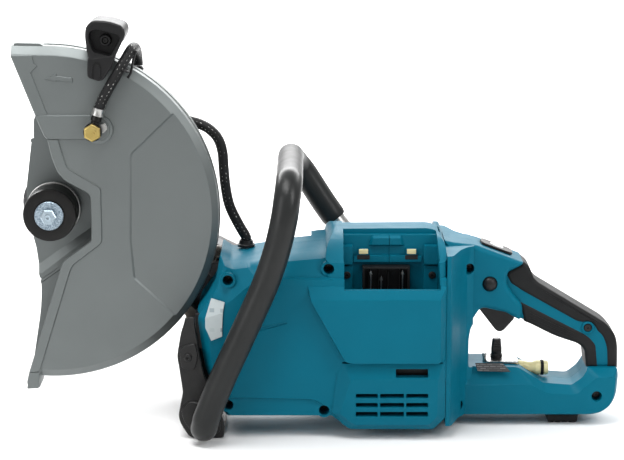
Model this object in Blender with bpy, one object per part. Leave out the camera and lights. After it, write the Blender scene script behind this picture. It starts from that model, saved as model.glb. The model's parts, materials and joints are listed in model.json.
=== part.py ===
"""Battery disc cutter (rescue saw) for a 355 mm wheel, built as separate parts.

X runs from the wheel guard to the rear handle, Y from the operator's left to the right and
Z up, with the floor at z = 0. Outlines are in millimetres, everything else is in metres.
The left half is the side with the near half of the guard.
"""
import math

import bmesh
import bpy
from mathutils import Matrix, Vector

# Driving dimensions
GAP = 0.0003                     # clearance between touching parts
CENTRING = Vector((-0.0085, 0.0, 0.0))   # puts the middle of the saw's box on the origin
SPINDLE = (-0.295, 0.248)        # x and z of the wheel axis
MOTOR = (-0.055, 0.115)          # x and z of the motor axis
GUARD_RADIUS = 0.190
GUARD_WALL = 0.003
GUARD_NEAR_Y = -0.042
GUARD_SEAM_Y = -0.0195
GUARD_FAR_Y = 0.003
SPINDLE_RADIUS = 0.0075
MOTOR_SHAFT_RADIUS = 0.005
SPINDLE_PULLEY_RADIUS = 0.030
MOTOR_PULLEY_RADIUS = 0.019
BELT_THICKNESS = 0.0025
BELT_Y = (0.0455, 0.0605)
ARM_Y = (0.0300, 0.0345, 0.0660)  # near face, inner face and open edge of the drive arm
ARM_SPINDLE_RADIUS = 0.040
ARM_MOTOR_RADIUS = 0.050
ARM_WALL = 0.0035
BOSS_RADIUS = 0.0225
HOUSING_Y = 0.085
PANEL_Y = 0.097
BELLY_Y = 0.093
WEB_Y = 0.0177                   # half thickness of the wall between the battery bays
STRUT_Y = 0.038
HEAD_Y = 0.030
GRIP_Y = 0.0205
GRIP_CORE_Y = 0.0147
HANDLE_X = 0.1503                # where the rear handle meets the housing
TUBE_RADIUS = 0.0115
SLEEVE_RADIUS = 0.015
HOSE_RADIUS = 0.006
HOSE_Y = 0.013
TRIGGER_PIVOT = (0.197, 0.141)

TEAL = ((0.0, 0.16, 0.25), 0.38, 0.0)
CAST_GREY = ((0.23, 0.26, 0.25), 0.45, 0.4)
RUBBER = ((0.025, 0.026, 0.027), 0.7, 0.0)
BLACK_STEEL = ((0.03, 0.03, 0.032), 0.45, 0.3)
BLACK_PLASTIC = ((0.02, 0.02, 0.021), 0.5, 0.0)
STEEL = ((0.55, 0.55, 0.54), 0.3, 1.0)
ZINC = ((0.50, 0.58, 0.64), 0.35, 0.9)
BRASS = ((0.66, 0.48, 0.16), 0.32, 1.0)
CREAM = ((0.75, 0.71, 0.44), 0.45, 0.0)
COPPER = ((0.62, 0.28, 0.14), 0.4, 0.9)
DARK_METAL = ((0.09, 0.09, 0.10), 0.5, 0.6)


def metres(outline):
    """Outline points given in millimetres, in metres."""
    return [(a / 1000.0, b / 1000.0) for a, b in outline]


def clear_scene():
    for item in list(bpy.data.objects):
        bpy.data.objects.remove(item, do_unlink=True)


def add_object(name, bm, look, pivot=(0.0, 0.0, 0.0)):
    """Object from a mesh drawn in the saw's frame, with its origin at the pivot."""
    bmesh.ops.recalc_face_normals(bm, faces=bm.faces)
    bm.transform(Matrix.Translation(-Vector(pivot)))
    mesh = bpy.data.meshes.new(name)
    bm.to_mesh(mesh)
    bm.free()
    mesh.shade_smooth()
    mesh.set_sharp_from_angle(angle=math.radians(32))
    item = bpy.data.objects.new(name, mesh)
    item.location = Vector(pivot) + CENTRING
    bpy.context.collection.objects.link(item)
    item.data.materials.append(make_material(name, look))
    return item


def make_material(name, look):
    colour, roughness, metallic = look
    material = bpy.data.materials.new(name)
    material.use_nodes = True
    shader = material.node_tree.nodes["Principled BSDF"]
    shader.inputs["Base Color"].default_value = (*colour, 1.0)
    shader.inputs["Roughness"].default_value = roughness
    shader.inputs["Metallic"].default_value = metallic
    return material


def prism(outline, low, high, axis="Y"):
    """Closed prism over an outline; axis Y takes (x, z), X takes (y, z) and Z takes (x, y)."""
    bm = bmesh.new()
    place = {"Y": lambda a, b: (a, low, b),
             "X": lambda a, b: (low, a, b),
             "Z": lambda a, b: (a, b, low)}[axis]
    step = {"Y": (0, high - low, 0), "X": (high - low, 0, 0), "Z": (0, 0, high - low)}[axis]
    face = bm.faces.new([bm.verts.new(place(a, b)) for a, b in outline])
    grown = bmesh.ops.extrude_face_region(bm, geom=[face])
    moved = [part for part in grown["geom"] if isinstance(part, bmesh.types.BMVert)]
    bmesh.ops.translate(bm, vec=step, verts=moved)
    bmesh.ops.recalc_face_normals(bm, faces=bm.faces)
    return bm


def block(low, high):
    """Box between two corners."""
    outline = [(low[0], low[2]), (high[0], low[2]), (high[0], high[2]), (low[0], high[2])]
    return prism(outline, low[1], high[1])


def turned(profile, centre, axis="Y", segments=24):
    """Solid of revolution of (radius, height) points; the heights run along the axis."""
    bm = bmesh.new()
    verts = [bm.verts.new((radius, 0, height)) for radius, height in profile]
    edges = [bm.edges.new((a, b)) for a, b in zip(verts, verts[1:])]
    if min(radius for radius, height in profile) > 0:
        edges.append(bm.edges.new((verts[-1], verts[0])))
    bmesh.ops.spin(bm, geom=verts + edges, cent=(0, 0, 0), axis=(0, 0, 1), dvec=(0, 0, 0),
                   angle=2 * math.pi, steps=segments, use_duplicate=False)
    bmesh.ops.remove_doubles(bm, verts=bm.verts, dist=1e-6)
    turn = {"Z": Matrix.Identity(4),
            "Y": Matrix.Rotation(-math.pi / 2, 4, "X"),
            "X": Matrix.Rotation(math.pi / 2, 4, "Y")}[axis]
    bm.transform(Matrix.Translation(centre) @ turn)
    bmesh.ops.recalc_face_normals(bm, faces=bm.faces)
    return bm


def rod(radius, centre_xz, low, high, segments=24):
    """Solid cylinder along Y."""
    profile = [(0, low), (radius, low), (radius, high), (0, high)]
    return turned(profile, (centre_xz[0], 0, centre_xz[1]), "Y", segments)


def ring(inner, outer, centre_xz, low, high, segments=24):
    """Hollow cylinder along Y."""
    profile = [(inner, low), (outer, low), (outer, high), (inner, high)]
    return turned(profile, (centre_xz[0], 0, centre_xz[1]), "Y", segments)


def combine(item, bm, operation):
    """Applies an exact Boolean of the drawn tool shape to the object."""
    tool_mesh = bpy.data.meshes.new("tool")
    bmesh.ops.recalc_face_normals(bm, faces=bm.faces)
    bm.to_mesh(tool_mesh)
    bm.free()
    tool = bpy.data.objects.new("tool", tool_mesh)
    tool.location = CENTRING
    bpy.context.collection.objects.link(tool)
    modifier = item.modifiers.new("combine", "BOOLEAN")
    modifier.object = tool
    modifier.operation = operation
    graph = bpy.context.evaluated_depsgraph_get()
    result = bpy.data.meshes.new_from_object(item.evaluated_get(graph))
    item.modifiers.clear()
    item.data = result
    bpy.data.objects.remove(tool, do_unlink=True)


def cut(item, bm):
    combine(item, bm, "DIFFERENCE")


def join(item, bm):
    combine(item, bm, "UNION")


def mirrored(item, name):
    """Copy of the object on the other side of the saw's middle plane."""
    bm = bmesh.new()
    bm.from_mesh(item.data)
    bm.transform(Matrix.Diagonal((1, -1, 1, 1)))
    bmesh.ops.reverse_faces(bm, faces=bm.faces)
    mesh = item.data.copy()
    bm.to_mesh(mesh)
    bm.free()
    twin = bpy.data.objects.new(name, mesh)
    twin.location = item.location
    bpy.context.collection.objects.link(twin)
    return twin


def arc(centre, radius, start, end, steps):
    """Points on an arc; the angles are in degrees from +X towards +Z."""
    points = []
    for index in range(steps + 1):
        angle = math.radians(start + (end - start) * index / steps)
        points.append((centre[0] + radius * math.cos(angle),
                       centre[1] + radius * math.sin(angle)))
    return points


def belt_outline(first_radius, second_radius, steps):
    """Outline round the spindle and motor circles with their outer tangents."""
    dx = MOTOR[0] - SPINDLE[0]
    dz = MOTOR[1] - SPINDLE[1]
    heading = math.degrees(math.atan2(dz, dx))
    spread = math.degrees(math.acos((first_radius - second_radius) / math.hypot(dx, dz)))
    around_spindle = arc(SPINDLE, first_radius, heading + spread, heading + 360 - spread, steps)
    around_motor = arc(MOTOR, second_radius, heading - spread, heading + spread, steps)
    return around_spindle + around_motor


def smooth_route(points, per_span):
    """Points on a Catmull-Rom curve through the route's own points."""
    route = [Vector(point) for point in points]
    ends = [2 * route[0] - route[1]] + route + [2 * route[-1] - route[-2]]
    result = []
    for a, b, c, d in zip(ends, ends[1:], ends[2:], ends[3:]):
        for index in range(per_span):
            t = index / per_span
            result.append(0.5 * (2 * b + (c - a) * t + (2 * a - 5 * b + 4 * c - d) * t * t
                                 + (3 * b - a - 3 * c + d) * t ** 3))
    result.append(route[-1])
    return result


def tube(name, points, radius, look, resolution=2):
    """Round bar or hose along a route, as a curve with filled ends."""
    curve = bpy.data.curves.new(name, "CURVE")
    curve.dimensions = "3D"
    curve.bevel_depth = radius
    curve.bevel_resolution = resolution
    curve.use_fill_caps = True
    spline = curve.splines.new("POLY")
    spline.points.add(len(points) - 1)
    for place, point in zip(spline.points, points):
        place.co = (*point, 1.0)
    item = bpy.data.objects.new(name, curve)
    item.location = CENTRING
    bpy.context.collection.objects.link(item)
    curve.materials.append(make_material(name, look))
    return item


def swept_ring(points, inner, outer, sides):
    """Hollow sleeve along a route: two swept walls joined by flat end rings."""
    bm = bmesh.new()
    loops = []
    up = Vector((0, 0, 1))
    for index, point in enumerate(points):
        before = points[max(index - 1, 0)]
        after = points[min(index + 1, len(points) - 1)]
        along = (after - before).normalized()
        side = along.cross(up).normalized() if index == 0 else (side - along * side.dot(along))
        side.normalize()
        other = along.cross(side)
        rows = []
        for radius in (inner, outer):
            spokes = []
            for step in range(sides):
                angle = 2 * math.pi * step / sides
                offset = radius * (math.cos(angle) * side + math.sin(angle) * other)
                spokes.append(bm.verts.new(point + offset))
            rows.append(spokes)
        loops.append(rows)
    for wall in (0, 1):
        for first, second in zip(loops, loops[1:]):
            for step in range(sides):
                after = (step + 1) % sides
                bm.faces.new((first[wall][step], first[wall][after],
                              second[wall][after], second[wall][step]))
    for rows in (loops[0], loops[-1]):
        for step in range(sides):
            after = (step + 1) % sides
            bm.faces.new((rows[0][step], rows[0][after], rows[1][after], rows[1][step]))
    return bm


# --- wheel guard ---------------------------------------------------------------------------

FRONT_TOP = [(-333.5, 438.6), (-308.6, 363.9)]
DEFLECTOR_TIP = [(-326.1, 43.7), (-312, 44.5), (-310.3, 53.2)]
NEAR_EDGE = FRONT_TOP + [(-295.4, 334.6), (-284.2, 296.1), (-277.7, 287.5), (-248.9, 271.7),
                         (-248.1, 218.8), (-281.4, 195.1), (-323.3, 63.9)]
FAR_EDGE = FRONT_TOP + [(-315.5, 350.5), (-316.5, 313.6), (-324, 270.6), (-324, 240),
                        (-313, 189), (-311.3, 139.8), (-323.3, 68)]


def guard_half(name, edge, low, high, wall_low, wall_high):
    """Half of the guard: a plate with a rim wall, open at the seam and along the front edge."""
    rim = arc(SPINDLE, GUARD_RADIUS, -94.5, 90, 30)
    half = add_object(name, prism(metres(edge + DEFLECTOR_TIP) + rim, low, high), CAST_GREY,
                      (SPINDLE[0], 0, SPINDLE[1]))
    cut(half, rod(GUARD_RADIUS - GUARD_WALL, SPINDLE, wall_low, wall_high, 60))
    return half


def make_guard():
    near_wall = GUARD_NEAR_Y + GUARD_WALL
    guard_half("guard_near", NEAR_EDGE, GUARD_NEAR_Y, GUARD_SEAM_Y - GAP / 2, near_wall, 0)
    far_wall = GUARD_FAR_Y - GUARD_WALL
    far = guard_half("guard_far", FAR_EDGE, GUARD_SEAM_Y + GAP / 2, GUARD_FAR_Y,
                     GUARD_NEAR_Y, far_wall)
    cut(far, rod(BOSS_RADIUS + 0.0005, SPINDLE, -0.01, 0.01, 32))


def make_guard_grip():
    hood = metres([(-245.6, 424), (-249.2, 450), (-248, 460), (-240, 468.5), (-236.8, 470.4),
                   (-221.5, 467.4), (-207.9, 462), (-204.7, 454.2), (-211.1, 439.9),
                   (-216.5, 430)])
    stem = metres([(-247, 425), (-215, 431), (-219.2, 421.1), (-230.6, 402.6),
                   (-233.9, 401.6), (-246.5, 406.5)])
    pivot = (SPINDLE[0], 0, SPINDLE[1])
    grip = add_object("guard_grip", prism(hood, -0.060, -0.006), BLACK_PLASTIC, pivot)
    join(grip, prism(stem, -0.0595, GUARD_NEAR_Y - GAP))
    hollow = metres([(-241, 436), (-243, 455), (-236, 463), (-213, 457.5), (-214, 447),
                     (-221, 434)])
    cut(grip, prism(hollow, -0.061, -0.030))
    cut(grip, block((-0.26, GUARD_NEAR_Y - GAP, 0.38), (-0.19, 0.01, 0.443)))
    add_object("guard_grip_screw", rod(0.0042, (-0.2273, 0.448), -0.0375, -0.030 - GAP, 12),
               BLACK_STEEL, pivot)


# --- wheel clamp and spindle -----------------------------------------------------------------

def make_spindle():
    pivot = (SPINDLE[0], 0, SPINDLE[1])
    shaft = add_object("spindle_shaft", rod(SPINDLE_RADIUS, SPINDLE, -0.0395, 0.0655), STEEL,
                       pivot)
    cut(shaft, rod(0.0043, SPINDLE, -0.0400, -0.0150, 12))
    bore = SPINDLE_RADIUS + GAP
    profile = [(bore, -0.0070), (0.0305, -0.0070), (0.0310, -0.0050), (0.0310, -0.0036),
               (0.0115, -0.0034), (0.0115, 0.0037), (bore, 0.0037)]
    centre = (SPINDLE[0], 0, SPINDLE[1])
    add_object("inner_flange", turned(profile, centre, "Y", 32), STEEL, pivot)
    profile = [(bore, -0.0073), (0.0295, -0.0073), (0.0300, -0.0080), (0.0300, -0.0422),
               (0.0291, -0.0446), (0.0265, -0.0455), (bore, -0.0455)]
    add_object("outer_flange", turned(profile, centre, "Y", 32), BLACK_STEEL, pivot)
    add_object("flange_washer", ring(0.0046, 0.0160, SPINDLE, -0.0485, -0.0458, 32), ZINC,
               pivot)
    bolt = add_object("spindle_bolt", rod(0.0040, SPINDLE, -0.0500, -0.0160, 12), ZINC, pivot)
    join(bolt, rod(0.0098, SPINDLE, -0.0555, -0.0488, 6))
    for name, low in (("spindle_bearing_front", 0.0042), ("spindle_bearing_rear", 0.0215)):
        add_object(name, ring(bore, 0.0175, SPINDLE, low, low + 0.0110), STEEL, pivot)
    add_object("spindle_pulley",
               ring(bore, SPINDLE_PULLEY_RADIUS, SPINDLE, 0.0440, 0.0620, 32), DARK_METAL,
               pivot)


# --- drive arm ---------------------------------------------------------------------------------

def dish(name, look, low, high, wall_low, wall_high):
    """Open casting that follows the belt."""
    outline = belt_outline(ARM_SPINDLE_RADIUS, ARM_MOTOR_RADIUS, 12)
    item = add_object(name, prism(outline, low, high), look)
    hollow = belt_outline(ARM_SPINDLE_RADIUS - ARM_WALL, ARM_MOTOR_RADIUS - ARM_WALL, 12)
    cut(item, prism(hollow, wall_low, wall_high))
    return item


def make_drive_arm():
    arm = dish("drive_arm", DARK_METAL, ARM_Y[0], ARM_Y[2], ARM_Y[1], 0.08)
    join(arm, rod(BOSS_RADIUS, SPINDLE, GAP, ARM_Y[0] + 0.002, 32))
    cut(arm, rod(0.0178, SPINDLE, -0.001, ARM_Y[1] + 0.001))
    cut(arm, rod(0.0065, MOTOR, 0.02, ARM_Y[1] + 0.001, 12))
    dish("arm_cover", BLACK_PLASTIC, ARM_Y[2] + GAP, 0.0845, 0.06, 0.0815)
    add_object("guard_retainer", ring(0.0180, 0.0290, SPINDLE, -0.0030, 0.0, 32), STEEL,
               (SPINDLE[0], 0, SPINDLE[1]))
    inside = 0.0005
    loop = belt_outline(SPINDLE_PULLEY_RADIUS + inside + BELT_THICKNESS,
                        MOTOR_PULLEY_RADIUS + inside + BELT_THICKNESS, 12)
    hole = belt_outline(SPINDLE_PULLEY_RADIUS + inside, MOTOR_PULLEY_RADIUS + inside, 12)
    belt = add_object("drive_belt", prism(loop, *BELT_Y), RUBBER)
    cut(belt, prism(hole, 0.04, 0.07))


# --- motor ---------------------------------------------------------------------------------------

def make_motor():
    pivot = (MOTOR[0], 0, MOTOR[1])
    stator = add_object("motor_stator", ring(0.0245, 0.0440, MOTOR, -0.062, -0.012, 32), COPPER,
                        pivot)
    for step in range(3):
        angle = math.radians(90 + 120 * step)
        place = (MOTOR[0] + 0.0455 * math.cos(angle), MOTOR[1] + 0.0455 * math.sin(angle))
        cut(stator, rod(0.004, place, -0.07, 0.0, 8))
    rotor = add_object("motor_rotor", rod(MOTOR_SHAFT_RADIUS, MOTOR, -0.0740, 0.0650, 16), STEEL,
                       pivot)
    join(rotor, rod(0.0230, MOTOR, -0.060, -0.014, 24))
    bore = MOTOR_SHAFT_RADIUS + GAP
    for name, low in (("motor_bearing_left", -0.0735), ("motor_bearing_right", 0.0135)):
        add_object(name, ring(bore, 0.0110, MOTOR, low, low + 0.0080, 20), STEEL, pivot)
    add_object("motor_pulley", ring(bore, MOTOR_PULLEY_RADIUS, MOTOR, 0.0440, 0.0620, 24),
               DARK_METAL, pivot)
    make_fan(pivot)


def make_fan(pivot):
    """Radial fan: a star of straight blades on a hub, standing on a thin disc."""
    blades = 9
    hub = 0.0110
    tip = 0.0370
    half_thickness = 0.0008
    star = []
    for step in range(blades):
        middle = 2 * math.pi * step / blades
        for radius, side in ((hub, -1), (tip, -1), (tip, 1), (hub, 1)):
            angle = middle + side * half_thickness / radius
            star.append((MOTOR[0] + radius * math.cos(angle),
                         MOTOR[1] + radius * math.sin(angle)))
    fan = add_object("cooling_fan", prism(star, -0.0070, 0.0050), BLACK_PLASTIC, pivot)
    join(fan, rod(0.0390, MOTOR, -0.0080, -0.0060, 32))
    cut(fan, rod(MOTOR_SHAFT_RADIUS + GAP, MOTOR, -0.0100, 0.0100, 16))


# --- housing --------------------------------------------------------------------------------------

HOUSING = [(-97, 22.5), (28, 22.5), (42, 10.7), (137, 10.7), (150, 22.5), (150, 222),
           (135, 227.5), (35.5, 228), (20.6, 224.3), (14.9, 212.6), (-25.3, 206.7),
           (-71, 199.1), (-91, 197.3), (-103, 205.5), (-109, 173), (-118.2, 156.9),
           (-129.5, 140.8), (-130.7, 134), (-125.7, 99.2), (-120.8, 74.8), (-103.7, 30.3)]
FRONT_CAVITY = [(-93, 26), (27, 26), (45, 14), (134, 14), (146, 25), (146, 90), (30.5, 90),
                (30.5, 206), (14, 208), (-25, 203), (-71, 195.5), (-90, 193.5), (-99.5, 199),
                (-105.5, 174), (-114, 158), (-126, 140), (-127, 134), (-122, 100),
                (-117, 76), (-101, 32)]
PANEL = [(-4.8, 177), (-1, 162), (36.7, 91.2), (43.9, 89.2), (143.3, 89.2), (149.5, 94),
         (149.5, 178)]
BELLY = [(25, 27), (43, 11.2), (136, 11.2), (149.5, 24), (149.5, 90), (34, 90)]
PILLARS = [(-93.6, 182.1), (18.5, 195.3), (-94.3, 38.2), (13.6, 32.0)]
VENT_X = [(49.2, 73.5), (76.4, 103), (105.6, 129.9)]
VENT_Z = [(28.0, 33.2), (38.8, 43.6), (49.6, 54.2)]
WINDOW = [(93.6, 72.2), (129.9, 72.2), (129.9, 82), (93.6, 82)]
BAY_X = (0.034, 0.144)
BAY_FLOOR = 0.095
OPENING_Z = 0.172


def make_housing():
    left = add_object("housing_left", prism(metres(HOUSING), -HOUSING_Y, -GAP / 2), TEAL)
    join(left, prism(metres(PANEL), -PANEL_Y, -HOUSING_Y + 0.002))
    join(left, prism(metres(BELLY), -BELLY_Y, -HOUSING_Y + 0.002))
    cut(left, prism(metres(FRONT_CAVITY), -0.0815, 0.001))
    cut(left, block((0.047, -0.0900, 0.018), (0.132, -0.0810, 0.086)))
    cut(left, block((0.034, -0.0147, 0.088), (0.146, 0.001, 0.2235)))
    cut(left, block((BAY_X[0], -0.0935, BAY_FLOOR), (BAY_X[1], -WEB_Y, 0.25)))
    cut(left, block((BAY_X[0], -0.100, OPENING_Z), (BAY_X[1], -0.080, 0.25)))
    for x0, x1 in metres(VENT_X):
        for z0, z1 in metres(VENT_Z):
            cut(left, block((x0, -0.095, z0), (x1, -0.085, z1)))
    cut(left, prism(metres(WINDOW), -0.095, -0.085))
    for place in metres(PILLARS):
        join(left, rod(0.0085, place, -0.084, -GAP / 2, 12))
        cut(left, rod(0.0058, place, -0.090, -0.060, 12))
    right = mirrored(left, "housing_right")
    seat = ring(0.0113, 0.0150, MOTOR, -0.0825, -0.0655, 20)
    join(left, seat)
    cut_away_for_arm(right)


def cut_away_for_arm(right):
    """The front of the right half stops short, where the drive arm lies alongside."""
    cut(right, block((-0.150, 0.0297, 0.0), (-0.001, 0.100, 0.230)))
    front = [point for point in HOUSING if point[0] < -20] + [(-1, 22.7), (-1, 208.8)]
    centre = (-60, 120)
    front.sort(key=lambda point: math.atan2(point[1] - centre[1], point[0] - centre[0]))
    join(right, prism(metres(front), 0.0262, 0.0296))
    join(right, block((-0.0043, 0.0265, 0.0235), (0.0005, 0.084, 0.2065)))
    join(right, rod(0.0150, MOTOR, 0.0125, 0.0270, 20))
    cut(right, rod(0.0113, MOTOR, 0.0100, 0.0220, 20))
    cut(right, rod(0.0065, MOTOR, 0.0200, 0.0400, 12))


def make_battery_bays():
    plate = add_object("bay_plate_left",
                       block((0.0345, -0.0260, BAY_FLOOR + GAP), (0.1435, -0.0180, 0.2220)), TEAL)
    for x0, x1 in ((0.0345, 0.0455), (0.1290, 0.1435)):
        join(plate, block((x0, -0.0320, 0.120), (x1, -0.0250, 0.2110)))
    join(plate, block((0.0634, -0.0300, 0.2100), (0.1054, -0.0250, 0.2200)))
    join(plate, block((0.0470, -0.0290, 0.1900), (0.1240, -0.0250, 0.1990)))
    mirrored(plate, "bay_plate_right")
    terminal = add_object("terminal_block_left",
                          block((0.0570, -0.0400, 0.1050), (0.1110, -0.0263, 0.1880)),
                          BLACK_PLASTIC)
    cut(terminal, block((0.0600, -0.0410, 0.1300), (0.1080, -0.0300, 0.1850)))
    for x in (0.0665, 0.0785, 0.1030):
        join(terminal, block((x, -0.0380, 0.1290), (x + 0.0012, -0.0290, 0.1800)))
    mirrored(terminal, "terminal_block_right")


def make_electrics():
    add_object("controller", block((0.050, -0.060, 0.0143), (0.130, 0.060, 0.044)), DARK_METAL)
    add_object("main_switch", block((0.2133, -0.0107, 0.1583), (0.2377, 0.0107, 0.1817)),
               BLACK_PLASTIC)


# --- front handle and bracket ------------------------------------------------------------------

LEG_LOW = [(-121.5, -85.3, 17), (-121.3, -98, 17.3), (-120.4, -107, 19.5), (-118.6, -111.5, 27),
           (-116.2, -112, 35)]
LEG_NEAR = [(-99.7, -112, 76), (-74.9, -112, 131), (-51.5, -112, 184), (-38.2, -112, 223.5),
            (-30.5, -111.5, 257), (-27.2, -106, 279), (-25.4, -92, 292), (-25, -72, 295.5)]
LEG_FAR = [(-25, 0, 295.8), (-25, 70, 295), (-23, 92, 290), (-16.5, 107, 279),
           (-8, 111.5, 267), (12, 112, 235.5), (27.5, 112, 213)]
LEG_END = [(40, 112, 196), (49, 112, 178), (51.5, 111.5, 163), (51.8, 107.5, 154),
           (51.8, 103, 151), (51.8, 98.0, 151)]
BRACKET = [(-137.8, 140.5), (-142.8, 133.5), (-146.3, 123.2), (-149.3, 107), (-151.1, 95.4),
           (-149.1, 82.7), (-145, 53.5), (-148.6, 36), (-150.4, 25.4), (-147.7, 16),
           (-139, 2), (-134, 0), (-99, 0), (-99, 21), (-104.2, 30), (-121.3, 74.6),
           (-126.2, 99), (-131.2, 134), (-130.2, 140.5)]


def make_front_handle():
    points = LEG_LOW + LEG_NEAR + LEG_FAR + LEG_END
    route = smooth_route([tuple(value / 1000 for value in point) for point in points], 2)
    tube("front_handle_tube", route, TUBE_RADIUS, BLACK_STEEL, 2)
    first = 2 * len(LEG_LOW)
    last = 2 * (len(LEG_LOW) + len(LEG_NEAR) + len(LEG_FAR) - 1)
    sleeve = swept_ring(route[first:last + 1], TUBE_RADIUS + 0.0008, SLEEVE_RADIUS, 10)
    add_object("front_handle_sleeve", sleeve, RUBBER)


def make_front_bracket():
    side = 0.085
    wall = 0.0045
    bracket = add_object("front_bracket", prism(metres(BRACKET), -side, side), BLACK_STEEL)
    inner = [(-126, 145), (-140, 134), (-144.8, 107), (-146.6, 95.4), (-144.6, 82.7),
             (-140.5, 53.5), (-144, 36), (-145.9, 25.4), (-143.6, 16), (-136.5, 5), (-80, 5),
             (-80, 100)]
    cut(bracket, prism(metres(inner), -side + wall, side - wall))
    cut(bracket, block((-0.16, -side + wall, 0.112), (-0.12, side - wall, 0.15)))
    cut(bracket, block((-0.16, 0.026, 0.078), (-0.09, 0.09, 0.15)))
    hole = (-0.1388, 0.0951)
    cut(bracket, rod(0.0030, hole, -0.090, -0.079, 10))
    screw = add_object("bracket_screw", rod(0.0045, hole, -0.0885, -side - GAP, 12), STEEL)
    join(screw, rod(0.0026, hole, -0.0860, -0.0790, 10))


# --- rear handle -------------------------------------------------------------------------------

FRAME = [(HANDLE_X * 1000, 11), (322, 10.6), (335, 14), (345, 22), (351, 35), (352, 58),
         (351.1, 91), (348.5, 102.4), (337.2, 116.7), (258.6, 164.3), (253.8, 169),
         (247.3, 184.4), (240.3, 190.3), (195.1, 207.3), (187, 210.3), (158.3, 213.8),
         (HANDLE_X * 1000, 221)]
FINGER_HOLE = [(192.8, 130.2), (181.4, 115.1), (179, 102.4), (178.9, 68), (236.7, 66.8),
               (265.8, 48.3), (298.7, 45.8), (310.9, 55), (316.4, 64), (313.4, 86.4),
               (305.5, 92.9), (279, 101.7), (249.3, 116.9), (243, 119), (237, 115.5),
               (232, 118.5)]
STRUT = [(HANDLE_X * 1000, 10.5), (322, 10.5), (333, 13.5), (343, 22), (348.5, 35), (349, 52),
         (322, 60), (311, 54.8), (298.7, 45.6), (265.8, 48.1), (236.7, 66.6), (178.7, 67.8),
         (178.8, 102.4), (181.2, 115.2), (192, 130), (190, 140), (HANDLE_X * 1000, 150)]
HEAD = [(HANDLE_X * 1000, 100), (178, 103), (180.8, 115.5), (192.6, 130.6), (231.5, 119.4),
        (236.5, 117), (230, 140), (219, 152), (216, 163), (217, 178), (237, 186.5), (238, 190.5),
        (195.1, 206.8), (187, 209.8), (158.3, 213.2), (HANDLE_X * 1000, 220)]
UPPER_GRIP = [(239.6, 190.5), (247.3, 184.4), (253.8, 169), (258.6, 164.3), (337.2, 116.7),
              (348.5, 102.4), (351.1, 91), (351.8, 63.9), (339.4, 63.9), (338, 88.9),
              (333.1, 101.4), (327.5, 106.5), (323.6, 112.5), (320.5, 116.2), (316, 117.6),
              (311, 116.9), (303, 118.6), (241.2, 153.6), (226.5, 163.4),
              (220.9, 174), (221.7, 177.9), (237.6, 185.7)]
LOWER_GRIP = [(235.3, 144.9), (310, 107), (319.3, 101.4), (327.3, 91.9), (330, 63.9),
              (316.6, 63.9), (313.6, 86.4), (305.7, 93.1), (279.2, 101.9), (249.5, 117.1),
              (243, 119.5)]
TRIGGER_SLOT = [(187, 128), (187, 150), (240, 150), (240, 121), (236, 110), (200, 100)]
TRIGGER = [(191.8, 134.5), (212, 105.4), (216.8, 103.3), (221.3, 105.4), (232.3, 117.8),
           (233.5, 121), (232, 132), (214, 132), (208, 146), (192, 145)]
HANDLE_PILLARS = [(178.2, 184.2, HEAD_Y), (166.4, 27.5, STRUT_Y), (326.7, 34.8, STRUT_Y)]
BUTTON = (0.2025, 0.1656)
HANDLE_SCREW = (0.3165, 0.1119)


def grown(outline, amount):
    """Outline pushed outwards by the amount, by moving each edge along its normal."""
    area = sum(a[0] * b[1] - b[0] * a[1] for a, b in zip(outline, outline[1:] + outline[:1]))
    turn = 1 if area > 0 else -1
    result = []
    for before, here, after in zip(outline[-1:] + outline[:-1], outline,
                                   outline[1:] + outline[:1]):
        first = Vector((here[0] - before[0], here[1] - before[1])).normalized()
        second = Vector((after[0] - here[0], after[1] - here[1])).normalized()
        normal = Vector((first.y, -first.x)) + Vector((second.y, -second.x))
        scale = turn * amount / max(normal.length_squared / 2, 0.3)
        result.append((here[0] + normal.x * scale, here[1] + normal.y * scale))
    return result


def flank():
    """Sloped side that runs in from the housing's width to the handle's head and strut."""
    outline = [(HANDLE_X, -0.0030), (HANDLE_X, -0.0820), (0.1540, -0.0800), (0.1660, -0.0490),
               (0.1760, -0.0350), (0.1775, -0.0300), (0.1775, -0.0030)]
    return prism(outline, 0.0140, 0.2100, "Z")


def make_rear_handle():
    left = add_object("handle_left", prism(metres(FRAME), -GRIP_Y, -GAP / 2), TEAL)
    cut(left, prism(metres(FINGER_HOLE), -0.05, 0.01))
    for outline in (UPPER_GRIP, LOWER_GRIP):
        cut(left, prism(grown(metres(outline), GAP), -0.05, -GRIP_CORE_Y))
    join(left, prism(metres(STRUT), -STRUT_Y, -0.0010))
    join(left, prism(metres(HEAD), -HEAD_Y, -0.0020))
    join(left, flank())
    cut(left, prism(metres(TRIGGER_SLOT), -0.0085, 0.01))
    cut(left, block((0.2130, -0.0110, 0.1580), (0.2380, 0.01, 0.1820)))
    cut(left, block((0.2035, -0.0123, 0.0497), (0.2385, 0.01, 0.0700)))
    cut(left, turned([(0, 0.2340), (0.0095, 0.2340), (0.0095, 0.3000), (0, 0.3000)],
                     (0, 0, 0.0590), "X", 16))
    for x, z, depth in HANDLE_PILLARS:
        cut(left, rod(0.0058, (x / 1000, z / 1000), -0.0900, -depth + 0.014, 12))
    mirrored(left, "handle_right")
    cut(left, rod(0.0087, BUTTON, -0.04, -0.0120, 20))
    cut(left, rod(0.0050, HANDLE_SCREW, -0.03, -0.0150, 12))
    add_grips()


def add_grips():
    for name, outline in (("upper_grip", UPPER_GRIP), ("lower_grip", LOWER_GRIP)):
        left = add_object(name + "_left",
                          prism(metres(outline), -GRIP_Y - 0.001, -GRIP_CORE_Y - GAP), RUBBER)
        mirrored(left, name + "_right")
    add_object("handle_screw", rod(0.0047, HANDLE_SCREW, -0.0200, -0.0153, 12), STEEL)


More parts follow.
